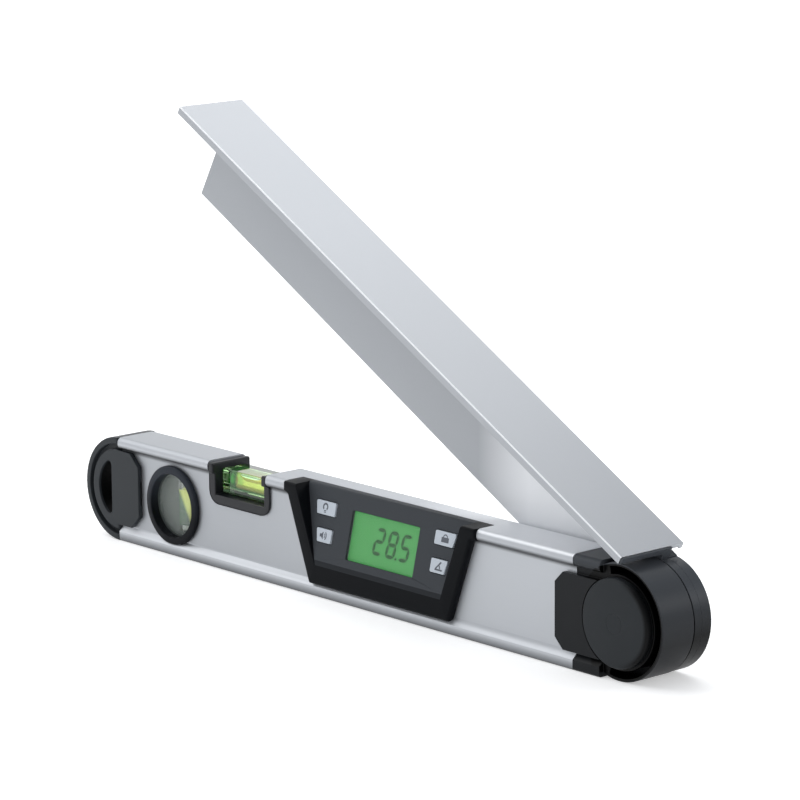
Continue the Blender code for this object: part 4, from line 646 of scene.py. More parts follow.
# Painted highlight toward the sleeve's top, the span over which it comes, and painted light grey in
# its bore.
SLEEVE_TOP_HIGHLIGHT_COLOUR = (0.029, 0.034, 0.043)
SLEEVE_BORE_LIGHT_COLOUR = (0.072, 0.083, 0.080)
SLEEVE_HIGHLIGHT_SPAN = (0.022, 0.044)
SLEEVE_EDGE = 0.0005
PLUMB_BORE = 0.0181
WINDOW_DEPTH = 0.0052
WINDOW_CURVE = ((0.0, 0.0), (0.5, 0.08), (0.82, 0.3), (1.0, 0.7), (1.0, 1.0), (0.0, 1.0))
WINDOW_TINTS = ((0.62, 0.68, 0.64), (0.68, 0.74, 0.70))
TUBE_COLOUR = (0.97, 1.0, 0.97)
TUBE_RADIUS = 0.006
TUBE_BORE = 0.0044
TUBE_EDGE = 0.0003
ACRYLIC_INDEX = 1.49
LIQUID_INDEX = 1.38
# The liquid's deep green and its yellow where painted light passes, the painted glow of each, and
# the way and edge of that painted light.
PLUMB_LIQUID = ((0.015, 0.13, 0.03), (0.70, 0.80, 0.20))
PLUMB_PAINTED_GLOW = ((0.004, 0.05, 0.01), (0.74, 0.76, 0.14))
PLUMB_CLEAR = 0.45
LIT_WAY = Vector((0.66, 0.75, 0.28))
LIT_EDGE = (-0.0032, -0.0018)
PLUG_COLOUR = (0.62, 0.66, 0.62)
PLUG_LENGTH = 0.0025
PLUMB_BUBBLE = 0.0055
MENISCUS = ((1.0, 0.0008), (0.8, 0.0002), (0.0, 0.0))
CONTACT = 0.00002


def sleeve_painted_light(place, skin):
    """Black, with a painted highlight greying it to the top, and painted light grey inside the
    bore, where it lights up the tube.
    """
    deep = place.part("Y") - CORNER.y > WINDOW_DEPTH
    bore = ring_round(place, CORNER.x + PLUMB_X, PLUMB_Z, 0.0, PLUMB_BORE) * deep
    upper = place.ramp("Z", *SLEEVE_HIGHLIGHT_SPAN) * 0.85 + skin * 0.15
    return bore.mixed(upper.blend(SLEEVE_COLOUR, SLEEVE_TOP_HIGHLIGHT_COLOUR), SLEEVE_BORE_LIGHT_COLOUR)


def cloudy(name, grain, low, high, **plain):
    """Even surface with the faintest cloud between two colours."""
    made = Finish(name, **plain)
    made.set("Base Color", made.place.noise(grain).blend(low, high))
    return made.material


def glazed(name, colour, painted_tint=None):
    """Clear cast plastic with the faintest cloud in it, whose tint a given function can change by
    place to paint shade and reflection into it.
    """
    made = Finish(name, transmission_weight=1.0, ior=ACRYLIC_INDEX)
    cloud = made.place.noise(60.0)
    tint = cloud.blend(toned(colour, 0.97), colour)
    made.set("Base Color", painted_tint(made.place, tint) if painted_tint else tint)
    made.set("Roughness", cloud * 0.02 + 0.02)
    return made.material


def dyed(name, lit, clear, colours, glows):
    """Fluorescent vial liquid with a painted glow, from green to yellow where lit paints the light
    that comes through.
    """
    made = Finish(
        name, transmission_weight=clear, ior=LIQUID_INDEX, roughness=0.02, emission_strength=0.22,
    )
    share = lit(made.place)
    deep, bright = colours
    tint = made.place.noise(120.0).blend(toned(deep, 0.94), deep)
    made.set("Base Color", share.mixed(tint, bright))
    made.set("Emission Color", share.blend(*glows))
    return made.material


def plumb_painted_light(place):
    """Share of painted light in the upright tube, which grows to its right side and with height."""
    lean = (place.part("X") - (CORNER.x + PLUMB_X)) * LIT_WAY.x + place.part("Y") * LIT_WAY.y
    return (lean + (place.part("Z") - PLUMB_Z) * LIT_WAY.z).between(*LIT_EDGE)


def foot_of(node, axis):
    """Middle of a CAD solid's box across an axis, and 0 along it."""
    low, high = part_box(node)
    foot = (low + high) / 2
    foot["XYZ".index(axis)] = 0.0
    return foot


def plug(vial, end, radius, start, foot, axis):
    """White plug that closes one end of a vial."""
    rod = barrel(f"{vial}_plug_{end}", 0.0, radius, start, start + PLUG_LENGTH, foot, axis, 32)
    shown(softened(rod, TUBE_EDGE), plug_white, "button_plastic", f"{vial}_vial_{end}_plug")


sleeve = skinned("sleeve_plastic", sleeve_painted_light, 0.08, 0.32, 0.12)
moulding("plumb_vial_housing", "plumb_sleeve", sleeve, "black_plastic", SLEEVE_EDGE)
moulding("plumb_vial_back_ring", "plumb_back_rim", sleeve, "black_plastic", SLEEVE_EDGE)
lens_clear = cloudy("lens_clear", 300.0, *WINDOW_TINTS, alpha=0.12, roughness=0.12, coat_weight=0.0)
for side in ("front", "back"):
    node = f"plumb_{side}_lens"
    low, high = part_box(node)
    near, far = (low.y, high.y) if side == "front" else (high.y, low.y)
    profile = [
        ((high.x - low.x) / 2 * out, near + (far - near) * along) for out, along in WINDOW_CURVE
    ]
    window = lathe("plumb_window_" + side, profile, foot_of(node, "Y"), "Y")
    shown(window, lens_clear, "clear_acrylic", node)
tube_clear = glazed("tube_clear", TUBE_COLOUR)
plumb_dye = dyed("plumb_dye", plumb_painted_light, PLUMB_CLEAR, PLUMB_LIQUID, PLUMB_PAINTED_GLOW)
plug_white = moulded("plug_white", PLUG_COLOUR, 0.34, 0.4)
tube_foot = foot_of("plumb_vial_tube", "Z")
tube_low, tube_high = (corner.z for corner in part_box("plumb_vial_tube"))
tube = barrel("plumb_tube", TUBE_BORE, TUBE_RADIUS, tube_low, tube_high, tube_foot, "Z")
shown(softened(tube, TUBE_EDGE), tube_clear, "clear_acrylic", "plumb_vial_tube")
fill_low = tube_low + PLUG_LENGTH
fill_high = tube_high - PLUG_LENGTH - PLUMB_BUBBLE
fill_radius = TUBE_BORE + CONTACT
plumb_fill = lathe("plumb_liquid", [
    (0.0, fill_low), (fill_radius, fill_low),
    *((fill_radius * out, fill_high + rise) for out, rise in MENISCUS),
], tube_foot, "Z", 64)
shown(plumb_fill, plumb_dye, "vial_liquid", "plumb_vial_liquid")
for end, start in (("lower", tube_low), ("upper", tube_high - PLUG_LENGTH)):
    plug("plumb", end, TUBE_BORE, start, tube_foot, "Z")


# Level vial: a clear acrylic block bored along its length, filled with the same liquid round a long
# bubble, with a black ring near each end. It lies in a black U-shaped liner clipped in the notch.
LINER_COLOUR = (0.012, 0.013, 0.016)
LINER_EDGE = 0.0008
BLOCK_COLOUR = (0.56, 0.76, 0.51)
# Painted reflection of the liquid's green on the block's top, and painted shade along its foot
# below this height.
BLOCK_TOP_PAINTED_GREEN = (0.24, 0.50, 0.17)
BLOCK_FOOT_SHADE_COLOUR = (0.012, 0.022, 0.012)
BLOCK_FOOT_Z = 0.0446
BLOCK_EDGE = 0.0008
RING_COLOUR = (0.008, 0.008, 0.008)
RING_INSET = 0.0029
RING_WIDTH = 0.0016
RING_THICKNESS = 0.0003
VIAL_RADIUS = 0.005
BUBBLE_HALF = 0.0095
BUBBLE_RADIUS = 0.0040
BUBBLE_BLUNT = 0.6
BUBBLE_STEPS = 12
# Green, and yellow where painted light passes, with the painted glow of each.
LEVEL_LIQUID = ((0.08, 0.46, 0.08), (0.98, 0.83, 0.32))
LEVEL_PAINTED_GLOW = ((0.02, 0.22, 0.02), (0.96, 0.78, 0.22))
LEVEL_CLEAR = 0.8

block_low, block_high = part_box("level_vial_block")
liquid_low, liquid_high = (corner.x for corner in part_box("level_vial_liquid"))
vial_foot = foot_of("level_vial_left_plug", "X")
bubble_x = (liquid_low + liquid_high) / 2


def block_painted_light(place, tint):
    """Painted shade along its foot, and the liquid's green painted over its top's left half as a
    painted reflection.
    """
    middle = (block_low.x + block_high.x) / 2
    over_left = place.ramp("Z", block_high.z - 0.0006, block_high.z - 0.0002)
    over_left = over_left * (1 - place.ramp("X", middle - 0.002, middle + 0.012))
    painted_top = over_left.mixed(tint, BLOCK_TOP_PAINTED_GREEN)
    return (place.part("Z") < BLOCK_FOOT_Z).mixed(painted_top, BLOCK_FOOT_SHADE_COLOUR)


def level_painted_light(place):
    """Share of painted light in the lying vial: painted bright under the bubble, green left of it
    and below.
    """
    along = place.ramp("X", bubble_x - 0.0125, bubble_x - 0.0105)
    return along * place.ramp("Z", vial_foot.z - 0.0040, vial_foot.z - 0.0024)


liner_plastic = moulded("liner_plastic", LINER_COLOUR, 0.28, 0.25)
moulding("level_vial_housing", "vial_liner", liner_plastic, "black_plastic", LINER_EDGE)
# Clear block with painted shade at its foot and a painted green reflection on its top.
block_clear = glazed("block_clear", BLOCK_COLOUR, block_painted_light)
vial_block = block("vial_block", rectangle(
    (block_low.y, block_low.z), (block_high.y, block_high.z), BLOCK_EDGE,
), block_low.x, block_high.x, "X")
bore_ends = (block_low.x - OVERRUN, block_high.x + OVERRUN)
cut(vial_block, barrel("vial_bore", 0.0, VIAL_RADIUS, *bore_ends, vial_foot, "X"))
shown(vial_block, block_clear, "clear_acrylic", "level_vial_block")
liquid = barrel(
    "level_liquid", 0.0, VIAL_RADIUS + CONTACT, liquid_low, liquid_high, vial_foot, "X",
)
bubble_profile = []
for step in range(BUBBLE_STEPS + 1):
    turn = math.pi * step / BUBBLE_STEPS
    at_end = step in (0, BUBBLE_STEPS)
    bubble_profile.append((
        0.0 if at_end else BUBBLE_RADIUS * math.sin(turn) ** BUBBLE_BLUNT,
        BUBBLE_HALF * math.copysign(abs(math.cos(turn)) ** BUBBLE_BLUNT, -math.cos(turn)),
    ))
bubble_centre = (bubble_x, vial_foot.y, vial_foot.z + VIAL_RADIUS)
cut(liquid, lathe("level_bubble", bubble_profile, bubble_centre, "X", 48))
level_dye = dyed("level_dye", level_painted_light, LEVEL_CLEAR, LEVEL_LIQUID, LEVEL_PAINTED_GLOW)
shown(liquid, level_dye, "vial_liquid", "level_vial_liquid")
ring_black = moulded("ring_black", RING_COLOUR, 0.24, 0.5)
for side, start, ring_start in (
    ("left", block_low.x, block_low.x + RING_INSET),
    ("right", block_high.x - PLUG_LENGTH, block_high.x - RING_INSET - RING_WIDTH),
):
    plug("level", side, VIAL_RADIUS, start, vial_foot, "X")
    ring = barrel(
        "level_ring_" + side, VIAL_RADIUS - RING_THICKNESS, VIAL_RADIUS - CONTACT * 2,
        ring_start, ring_start + RING_WIDTH, vial_foot, "X",
    )
    shown(ring, ring_black, "black_plastic")


# Console: one moulding let into the front of the body. Its grey panel leans back between two
# darker cheeks, over a dark lower band.
PANEL_COLOUR = (0.056, 0.061, 0.068)
BAND_COLOUR = (0.0035, 0.0042, 0.0055)
CHEEK_WIDTH = 0.0095
PANEL_FOOT_Z = 0.021
PANEL_LEAN = math.radians(13.0)
PANEL_BEVEL = 0.0029
CONSOLE_PROUD = 0.0015

console_grey = Finish("console_plastic", 0.05)
place = console_grey.place
skin = place.noise(2400.0, 3.0)
height = place.part("Z")
half_width = height * CONSOLE_SLOPE + (
    CONSOLE_BASE_HALF - CONSOLE_BASE_Z * CONSOLE_SLOPE - CHEEK_WIDTH - MOULD_FIT
)
inside = abs(place.part("X") - (CORNER.x + CONSOLE_X)) < half_width
panel = inside * (height > PANEL_FOOT_Z - PANEL_BEVEL)
bevel = panel * (height < PANEL_FOOT_Z - 0.0001)
shade = panel * 0.95 - bevel * 0.6 + skin * 0.05
console_grey.set("Base Color", shade.blend(BAND_COLOUR, PANEL_COLOUR))
console_grey.set("Roughness", skin * 0.1 + panel * 0.06 + 0.36)
console_grey.relief(skin, 0.00002)
moulding("console_housing", "console_moulding", console_grey.material)


# Display: a clear pane set below the panel's face over a green backlit liquid crystal, whose
# dark segments show an angle in degrees.
AT_PANEL = (
    AT_BODY @ Matrix.Translation((CONSOLE_X, -CONSOLE_PROUD + 0.0004, PANEL_FOOT_Z))
    @ Matrix.Rotation(math.pi / 2 - PANEL_LEAN, 4, "X")
)
DISPLAY_HALF = 0.0266
DISPLAY_RISE = 0.0042
DISPLAY_HEIGHT = 0.0267
DISPLAY_MIDDLE = DISPLAY_RISE + DISPLAY_HEIGHT / 2
DISPLAY_CORNER = 0.001
DISPLAY_FACE = -0.0023
DISPLAY_BACK = DISPLAY_FACE - 0.0033
DISPLAY_MARGIN = 0.003
PANE_GAP = 0.0003
PANE_SPAN = (-0.002, -0.0008)
DIGIT_HEIGHT = 0.0150
DIGIT_WIDTH = 0.0079
DIGIT_PLACES = (-0.0049, 0.0054, 0.0157)
DIGIT_MIDDLE = DISPLAY_RISE + DISPLAY_HEIGHT * 0.51
SEGMENT_WIDTH = 0.0021
SEGMENT_GAP = 0.0001
SEGMENT_THICKNESS = 0.00004
SEGMENT_SLANT = 0.13
SEGMENT_BULGE = 0.57
DIGIT_SEGMENTS = {"2": "abged", "8": "abcdefg", "5": "afgcd"}
SEGMENT_GRID = {
    "a": (0, 1), "g": (0, 0), "d": (0, -1), "b": (1, 0.5), "c": (1, -0.5), "f": (-1, 0.5),
    "e": (-1, -0.5),
}
POINT_X = 0.00955
POINT_HALF = 0.0008
POINT_CORNER = 0.0003

backlight = Finish("backlight", 0.2, roughness=0.45, emission_strength=0.45)
haze = backlight.place.noise(70.0)
backlight.set("Base Color", haze.blend((0.022, 0.15, 0.030), (0.026, 0.17, 0.034)))
backlight.set("Emission Color", haze.blend((0.060, 0.37, 0.080), (0.066, 0.40, 0.088)))
crystal_dark = cloudy(
    "crystal_dark", 400.0, (0.008, 0.085, 0.014), (0.010, 0.10, 0.018), shine=0.1,
    roughness=0.5,
)
pane = cloudy(
    "display_pane", 80.0, (0.80, 0.86, 0.82), (0.84, 0.90, 0.86), alpha=0.04, roughness=0.06,
    coat_weight=0.0,
)

for name, node, grow, span, surface, slot in (
    ("display_pane", "display_window", -PANE_GAP, PANE_SPAN, pane, "clear_acrylic"),
    ("display_glass", "display_module", DISPLAY_MARGIN, (DISPLAY_BACK, DISPLAY_FACE),
     backlight.material, "display_green"),
):
    outline = rectangle(
        (-DISPLAY_HALF - grow, DISPLAY_RISE - grow),
        (DISPLAY_HALF + grow, DISPLAY_RISE + DISPLAY_HEIGHT + grow), DISPLAY_CORNER,
    )
    shown(block(name, outline, *span, "Z", AT_PANEL), surface, slot, node)


def vector(tree, x=0.0, y=0.0, z=0.0):
    """Vector of a tree from its three parts."""
    return add_node(tree, "ShaderNodeCombineXYZ", {0: x, 1: y, 2: z})


segment_tree, segment = recipe("lcd_segments", {
    "Points": "Geometry", "Length": "Float", "Width": "Float", "Thickness": "Float",
    "Slant": "Float", "Surface": "Material",
})
bar = add_node(
    segment_tree, "GeometryNodeMeshCircle", {"Vertices": 6, "Radius": 1.0}, fill_type="NGON",
)
bar_size = vector(segment_tree, segment["Length"] * 0.5, segment["Width"] * SEGMENT_BULGE, 1.0)
thick_bar = bar.then("Transform", {"Scale": bar_size}).then("ExtrudeMesh", {
    "Offset": vector(segment_tree, z=segment["Thickness"]), "Offset Scale": 1.0,
    "Individual": False,
}, mode="FACES")
upright = add_node(
    segment_tree, "GeometryNodeInputNamedAttribute", {0: "upright"}, data_type="FLOAT",
)
bars = segment["Points"].then("MeshToPoints").then("InstanceOnPoints", {
    "Instance": thick_bar, "Rotation": vector(segment_tree, z=upright * (math.pi / 2)),
})
rise_of_point = add_node(segment_tree, "GeometryNodeInputPosition").part("Y")
slanted = bars.then("RealizeInstances").then("SetPosition", {
    "Offset": vector(segment_tree, (rise_of_point - DISPLAY_MIDDLE) * segment["Slant"]),
})
close_recipe(segment_tree, slanted, segment["Surface"])


def at_points(name, places):
    """Object of loose points, which a tree sets its pieces on."""
    mesh = bpy.data.meshes.new(name)
    mesh.from_pydata(places, [], [])
    return placed(name, mesh)


spots = []
stands = []
for centre_x, digit in zip(DIGIT_PLACES, "285"):
    for letter in DIGIT_SEGMENTS[digit]:
        column, row = SEGMENT_GRID[letter]
        spots.append((
            centre_x + column * (DIGIT_WIDTH - SEGMENT_WIDTH) / 2,
            DIGIT_MIDDLE + row * (DIGIT_HEIGHT - SEGMENT_WIDTH) / 2, DISPLAY_FACE,
        ))
        stands.append(float(abs(column)))
digits = at_points("display_digits", spots)
digits.data.attributes.new("upright", "FLOAT", "POINT").data.foreach_set("value", stands)
grown(
    digits, segment_tree, Length=(DIGIT_HEIGHT - SEGMENT_WIDTH) / 2 - SEGMENT_GAP,
    Width=SEGMENT_WIDTH, Thickness=SEGMENT_THICKNESS, Slant=SEGMENT_SLANT, Surface=crystal_dark,
)
digits.data.transform(AT_PANEL)
shown(digits, crystal_dark, "black_plastic")
foot = DIGIT_MIDDLE - DIGIT_HEIGHT / 2
point = block("display_point", rectangle(
    (POINT_X - POINT_HALF, foot), (POINT_X + POINT_HALF, foot + POINT_HALF * 2), POINT_CORNER,
), DISPLAY_FACE, DISPLAY_FACE + SEGMENT_THICKNESS, "Z", AT_PANEL)
shown(point, crystal_dark, "black_plastic")


# Buttons: four pale keys that stand a little proud of the panel, moulded in one shot and pad
# printed in grey with signs for light, sound, hold and zero angle, drawn in millimetres.
BUTTON_COLOUR = (0.50, 0.545, 0.60)
BUTTON_EDGE = 0.0003
BUTTON_TOP = 0.0008
BUTTON_INNER = 0.0395
BUTTON_ROWS = {"lower": 0.0101, "upper": 0.0248}
BUTTON_HEIGHT = 0.0074
BUTTON_SLANT = 0.11
INK_COLOUR = (0.10, 0.11, 0.13)
INK_THICKNESS = 0.00005
SIGN_SHIFT = BUTTON_HEIGHT * 0.72
SIGN_SCALE = 0.0012

button_pale = moulded("button_pale", BUTTON_COLOUR, 0.32, 0.45, None, 0.00001, 3000.0)
ink = moulded("ink_grey", INK_COLOUR, 0.44, 0.3)


def band(radius, width, start, end, centre=(0.0, 0.0), steps=16):
    """Outline of an arc stroke, angles in degrees."""
    angles = [math.radians(start + (end - start) * step / steps) for step in range(steps + 1)]
    sides = ((radius + width / 2, angles), (radius - width / 2, angles[::-1]))
    return [
        (centre[0] + reach * math.cos(angle), centre[1] + reach * math.sin(angle))
        for reach, turns in sides for angle in turns
    ]


SIGNS = {
    ("upper", "left", "lamp"): [
        band(1.4, 0.8, -50, 230, (0.0, 0.5)), rectangle((-0.7, -1.4), (0.7, -1.0)),
        rectangle((-0.6, -2.1), (0.6, -1.7)),
    ],
    ("lower", "left", "sound"): [
        [(-2.2, -0.7), (-1.2, -0.7), (0.0, -1.8), (0.0, 1.8), (-1.2, 0.7), (-2.2, 0.7)],
        band(1.2, 0.5, -50, 50), band(2.1, 0.5, -50, 50),
    ],
    ("upper", "right", "hold"): [
        rectangle((-2.3, -1.6), (2.3, 0.6)), band(1.2, 0.5, 0, 180, (0.0, 0.6)),
    ],
    ("lower", "right", "angle"): [
        rectangle((-2.2, -1.9), (2.4, -1.2)),
        [(-2.2, -1.2), (-1.3, -1.2), (1.6, 1.8), (0.8, 2.1)],
        band(3.0, 0.6, 6, 38, (-2.2, -1.4)),
    ],
}
for (row, label, sign), outlines in SIGNS.items():
    node = f"button_{row}_{label}"
    moulding(node, f"key_{row}_{label}", button_pale, "button_plastic", BUTTON_EDGE, node)
    at_x = BUTTON_INNER + SIGN_SHIFT + BUTTON_ROWS[row] * BUTTON_SLANT
    if label == "left":
        at_x = -at_x
    at_y = BUTTON_ROWS[row] + BUTTON_HEIGHT / 2
    shape = bmesh.new()
    for outline in outlines:
        printed = [(at_x + u * SIGN_SCALE, at_y + v * SIGN_SCALE) for u, v in outline]
        add_prism(shape, printed, BUTTON_TOP, BUTTON_TOP + INK_THICKNESS, "Z")
    shown(formed("sign_" + sign, shape, AT_PANEL), ink, "black_plastic", body=node)


# Electronics behind the panel: a green fibre-glass board with four tact switches and a buzzer,
# held by two screws, and a flat ribbon that runs to the encoder in the hinge.
LACQUER = ((0.015, 0.11, 0.045), (0.03, 0.19, 0.08))
TRACK_SHARE = 0.55
SWITCH_COLOUR = (0.12, 0.13, 0.14)
RIBBON_COLOUR = (0.35, 0.36, 0.38)


def carried(material, *nodes):
    """Give CAD solids that are right as they are their real finish."""
    for node in nodes:
        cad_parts[node].data.materials.clear()
        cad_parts[node].data.materials.append(material)


board_green = Finish("board_green")
tracks = board_green.place.noise(260.0, 1.0, (1.0, 1.0, 6.0)) > TRACK_SHARE
lacquer = tracks * 0.6 + board_green.place.noise(2000.0) * 0.2
board_green.set("Base Color", lacquer.blend(*LACQUER))
board_green.set("Roughness", tracks * 0.08 + 0.35)
board_green.relief(tracks, 0.00002)
carried(board_green.material, "main_board", "encoder_board")
carried(
    moulded("switch_grey", SWITCH_COLOUR, 0.39, 0.4),
    "switch_lower_left", "switch_lower_right", "switch_upper_left", "switch_upper_right",
)
carried(ring_black, "buzzer")
carried(moulded("ribbon_grey", RIBBON_COLOUR, 0.44, 0.4), "encoder_ribbon")


# Battery bay: two AAA cells lie in a black tray behind the display, between sprung steel
# contacts, and a door clipped over the tray closes it at the back.
TRAY_EDGE = 0.00025
CELL_COLOURS = ((0.02, 0.025, 0.05), (0.45, 0.30, 0.10))
CELL_BAND = 0.014
SPRING_COLOUR = (0.62, 0.62, 0.60)


def turned_metal(name, colour, low=0.24):
    """Bare turned or rolled metal with fine tool marks."""
    made = Finish(name, metallic=1.0)
    marks = made.place.noise(1500.0, 2.0, (1.0, 6.0, 1.0))
    made.set("Base Color", marks.blend(toned(colour, 0.9), colour))
    made.set("Roughness", marks * 0.12 + low)
    made.relief(marks, 0.00001)
    return made.material


tray_plastic = moulded("tray_plastic", LINER_COLOUR, 0.34, 0.35)
moulding("battery_tray", "tray_moulding", tray_plastic, "black_plastic", TRAY_EDGE)
door_plastic = moulded("door_plastic", CAP_COLOUR)
moulding("battery_door", "battery_hatch", door_plastic, width=TRAY_EDGE, body="battery_door")
cell_sleeve = Finish("cell_sleeve", coat_weight=0.3)
end_band = abs(cell_sleeve.place.part("X") - (CORNER.x + CONSOLE_X)) > CELL_BAND
grain = cell_sleeve.place.noise(800.0)
cell_sleeve.set("Base Color", (end_band * 0.85 + grain * 0.15).blend(*CELL_COLOURS))
cell_sleeve.set("Roughness", grain * 0.1 + 0.28)
carried(cell_sleeve.material, "battery_cell_1", "battery_cell_2")
spring_bright = turned_metal("spring_bright", SPRING_COLOUR, 0.22)
carried(spring_bright, "battery_contact_left", "battery_contact_right")


# Hinge housing: a moulded round end on the body, screwed inside the profile. A deep groove runs
# round a flush cover disc, and the rails' lines run out into it.
HINGE = Vector((0.215, 0.0, 0.03))
HINGE_COLOUR = (0.0080, 0.0088, 0.0102)
HUB_COLOUR = (0.062, 0.068, 0.077)
DISC_COLOUR = (0.024, 0.027, 0.030)
DISC_RADIUS = 0.023
DISC_EDGE = 0.00012
GROOVE_RADII = (DISC_RADIUS + 0.00015, 0.0294)
GROOVE_SPAN = (0.0001, 0.012)
ROUND_START = HINGE.x - 0.012
# Heights over which painted light lightens the round end and the shoulder toward the hub's colour.
ROUND_LIT = (0.022, 0.054)
SHOULDER_LIT = (0.053, 0.058)
RING_REACH = 0.006
RING_DEPTH = 0.0004
RING_SINK = 0.00006


def hinge_painted_light(place, skin):
    """Painted black shade in the groove, and painted light, a little lighter, round the outside and
    on the shoulder.
    """
    depth = place.part("Y") - CORNER.y
    groove = ring_round(place, HINGE.x, HINGE.z, *GROOVE_RADII)
    groove = groove * (depth > GROOVE_SPAN[0]) * (depth < GROOVE_SPAN[1])
    outside = ring_round(place, HINGE.x, HINGE.z, GROOVE_RADII[1], 1.0)
    outside = outside * (place.part("X") > ROUND_START) * place.ramp("Z", *ROUND_LIT)
    shoulder = place.ramp("Z", *SHOULDER_LIT) * (place.part("X") < ROUND_START)
    lit = (outside + shoulder) * 0.8 + skin * 0.1
    return groove.mixed(lit.blend(HINGE_COLOUR, HUB_COLOUR), PAINTED_SHADE_COLOUR)


def disc_rim_painted_shadow(place):
    """Painted shadow on the disc's rim where it turns away from the light, at its right."""
    reach = from_axis(place, HINGE.x, HINGE.z)
    edge = reach.between((DISC_RADIUS - 0.0032) ** 2, (DISC_RADIUS - 0.0012) ** 2)
    return edge * place.ramp("X", HINGE.x + 0.003, HINGE.x + 0.014) * 0.9


# The housing's plastic, with painted shade in its groove and painted light on its upper faces.
hinge_plastic = skinned("hinge_plastic", hinge_painted_light, 0.12, 0.34)
moulding("hinge_housing", "hinge_moulding", hinge_plastic)
disc = rounded_copy("hinge_cover", "hinge_disc", DISC_EDGE)
face_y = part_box("hinge_cover")[0].y
for vertex in disc.data.vertices:
    reach = math.hypot(vertex.co.x - HINGE.x, vertex.co.z - HINGE.z)
    if vertex.co.y < face_y + RING_DEPTH and reach < RING_REACH:
        vertex.co.y = min(vertex.co.y, face_y + RING_SINK)
# The disc's plastic, with a painted shadow on its right rim.
disc_plastic = moulded("disc_plastic", DISC_COLOUR, 0.39, 0.1, disc_rim_painted_shadow)
shown(disc, disc_plastic, "cover_plastic", "hinge_cover")


# Pivot: a steel shaft through a brass bush, with a steel thrust washer, a hexagon nut, and the
# encoder's brass rotor, all inside the hinge.
steel_turned = turned_metal("steel_turned", (0.56, 0.57, 0.58))
brass_turned = turned_metal("brass_turned", (0.74, 0.56, 0.26))
carried(steel_turned, "pivot_shaft", "pivot_nut", "thrust_washer")
carried(brass_turned, "pivot_bush", "encoder_rotor")


# Arm: an aluminium T profile, folded over the body's top when shut. Its wide flange is the
# second measuring face and its web runs down behind the body.
REST_ANGLE = math.radians(29.1)
AT_ARM = (
    Matrix.Translation(HINGE) @ Matrix.Rotation(REST_ANGLE, 4, "Y")
    @ Matrix.Translation((0.0, CORNER.y, 0.0))
)
ARM_LENGTH = 0.400
ARM_START = 0.0104
FLANGE_FRONT = -0.0042
FLANGE_BACK = FLANGE_FRONT + 0.044
FLANGE_BOTTOM = 0.031
FLANGE_TOP = FLANGE_BOTTOM + 0.00435
FLANGE_PLATE = FLANGE_TOP - 0.00235
LIP_BACK = FLANGE_FRONT + 0.0024
REAR_LIP_FRONT = FLANGE_BACK - 0.0022
REAR_LIP_BOTTOM = FLANGE_TOP - 0.0034
WEB_FRONT = BODY_DEPTH + 0.0005
WEB_BACK = WEB_FRONT + 0.0026
WEB_DROP = 0.0228
WEB_SHORT = 0.006
# Spans of the painted shade on the web under the flange and of the painted highlight on the web
# near the hinge.
WEB_SHADE = (-0.02, FLANGE_BOTTOM)
WEB_LIT = (0.086, 0.124)
ARM_EDGE = 0.0006
LIP_EDGE = ARM_EDGE / 2


def arm_painted_light(place):
    """Painted shade over the web, darker to the flange; painted highlight on the front of the web
    near the hinge, and on the front edge of the arm.
    """
    over = (
        (place.part("X") - HINGE.x) * math.sin(REST_ANGLE)
        + (place.part("Z") - HINGE.z) * math.cos(REST_ANGLE)
    )
    depth = place.part("Y") - CORNER.y
    on_web = over < FLANGE_BOTTOM
    web_front = on_web * (depth < (WEB_FRONT + WEB_BACK) / 2)
    lip_front = (depth < FLANGE_FRONT + ARM_EDGE) * (over > FLANGE_TOP - ARM_EDGE)
    dark = on_web * (over.between(*WEB_SHADE) * 0.12 + 0.1)
    return dark, place.ramp("X", *WEB_LIT) * web_front + lip_front


# The arm's satin is the body's colour toned darker as painted shade, with its own painted shade and
# highlights.
arm_satin = satin("satin_arm", toned(SATIN_COLOUR, 0.88), arm_painted_light, REST_ANGLE)
arm = drawn_bar("arm_bar", fillet([
    (FLANGE_FRONT, FLANGE_BOTTOM, LIP_EDGE), (FLANGE_FRONT, FLANGE_TOP, ARM_EDGE),
    (FLANGE_BACK, FLANGE_TOP, ARM_EDGE), (FLANGE_BACK, REAR_LIP_BOTTOM, ARM_EDGE),
    (REAR_LIP_FRONT, REAR_LIP_BOTTOM, LIP_EDGE), (REAR_LIP_FRONT, FLANGE_PLATE, ARM_EDGE),
    (WEB_BACK, FLANGE_PLATE, ARM_EDGE), (WEB_BACK, -WEB_DROP, ARM_EDGE),
    (WEB_FRONT, -WEB_DROP, ARM_EDGE), (WEB_FRONT, FLANGE_PLATE, ARM_EDGE),
    (LIP_BACK, FLANGE_PLATE, ARM_EDGE), (LIP_BACK, FLANGE_BOTTOM, LIP_EDGE),
], 4), [], -ARM_LENGTH, ARM_LENGTH - ARM_START, arm_satin, AT_ARM)
web_saw = block("web_saw", rectangle(
    (WEB_FRONT - OVERRUN, -WEB_DROP - OVERRUN), (WEB_BACK + OVERRUN, FLANGE_PLATE - LIP_EDGE),
), -ARM_LENGTH - OVERRUN, -ARM_LENGTH + WEB_SHORT, "X", AT_ARM)
cut(arm, web_saw)
shown(softened(arm, MILLED_EDGE), arm_satin, "satin_aluminium", "arm_profile", body="arm")


# Hub: the arm's round end behind the housing, with a bridge under the flange, and a cover whose
# lobe holds the web. Both are moulded in the hinge's plastic, with a little more gloss.
SEAM = 0.00006
SEAM_REACH = 0.0004
HUB_LIT = (0.024, 0.048)


def hub_painted_shade(place, skin):
    """Painted shade, darker toward the floor."""
    lit = place.ramp("Z", *HUB_LIT) * 0.9 + skin * 0.1
    return lit.blend(PAINTED_SHADE_COLOUR, HUB_COLOUR)


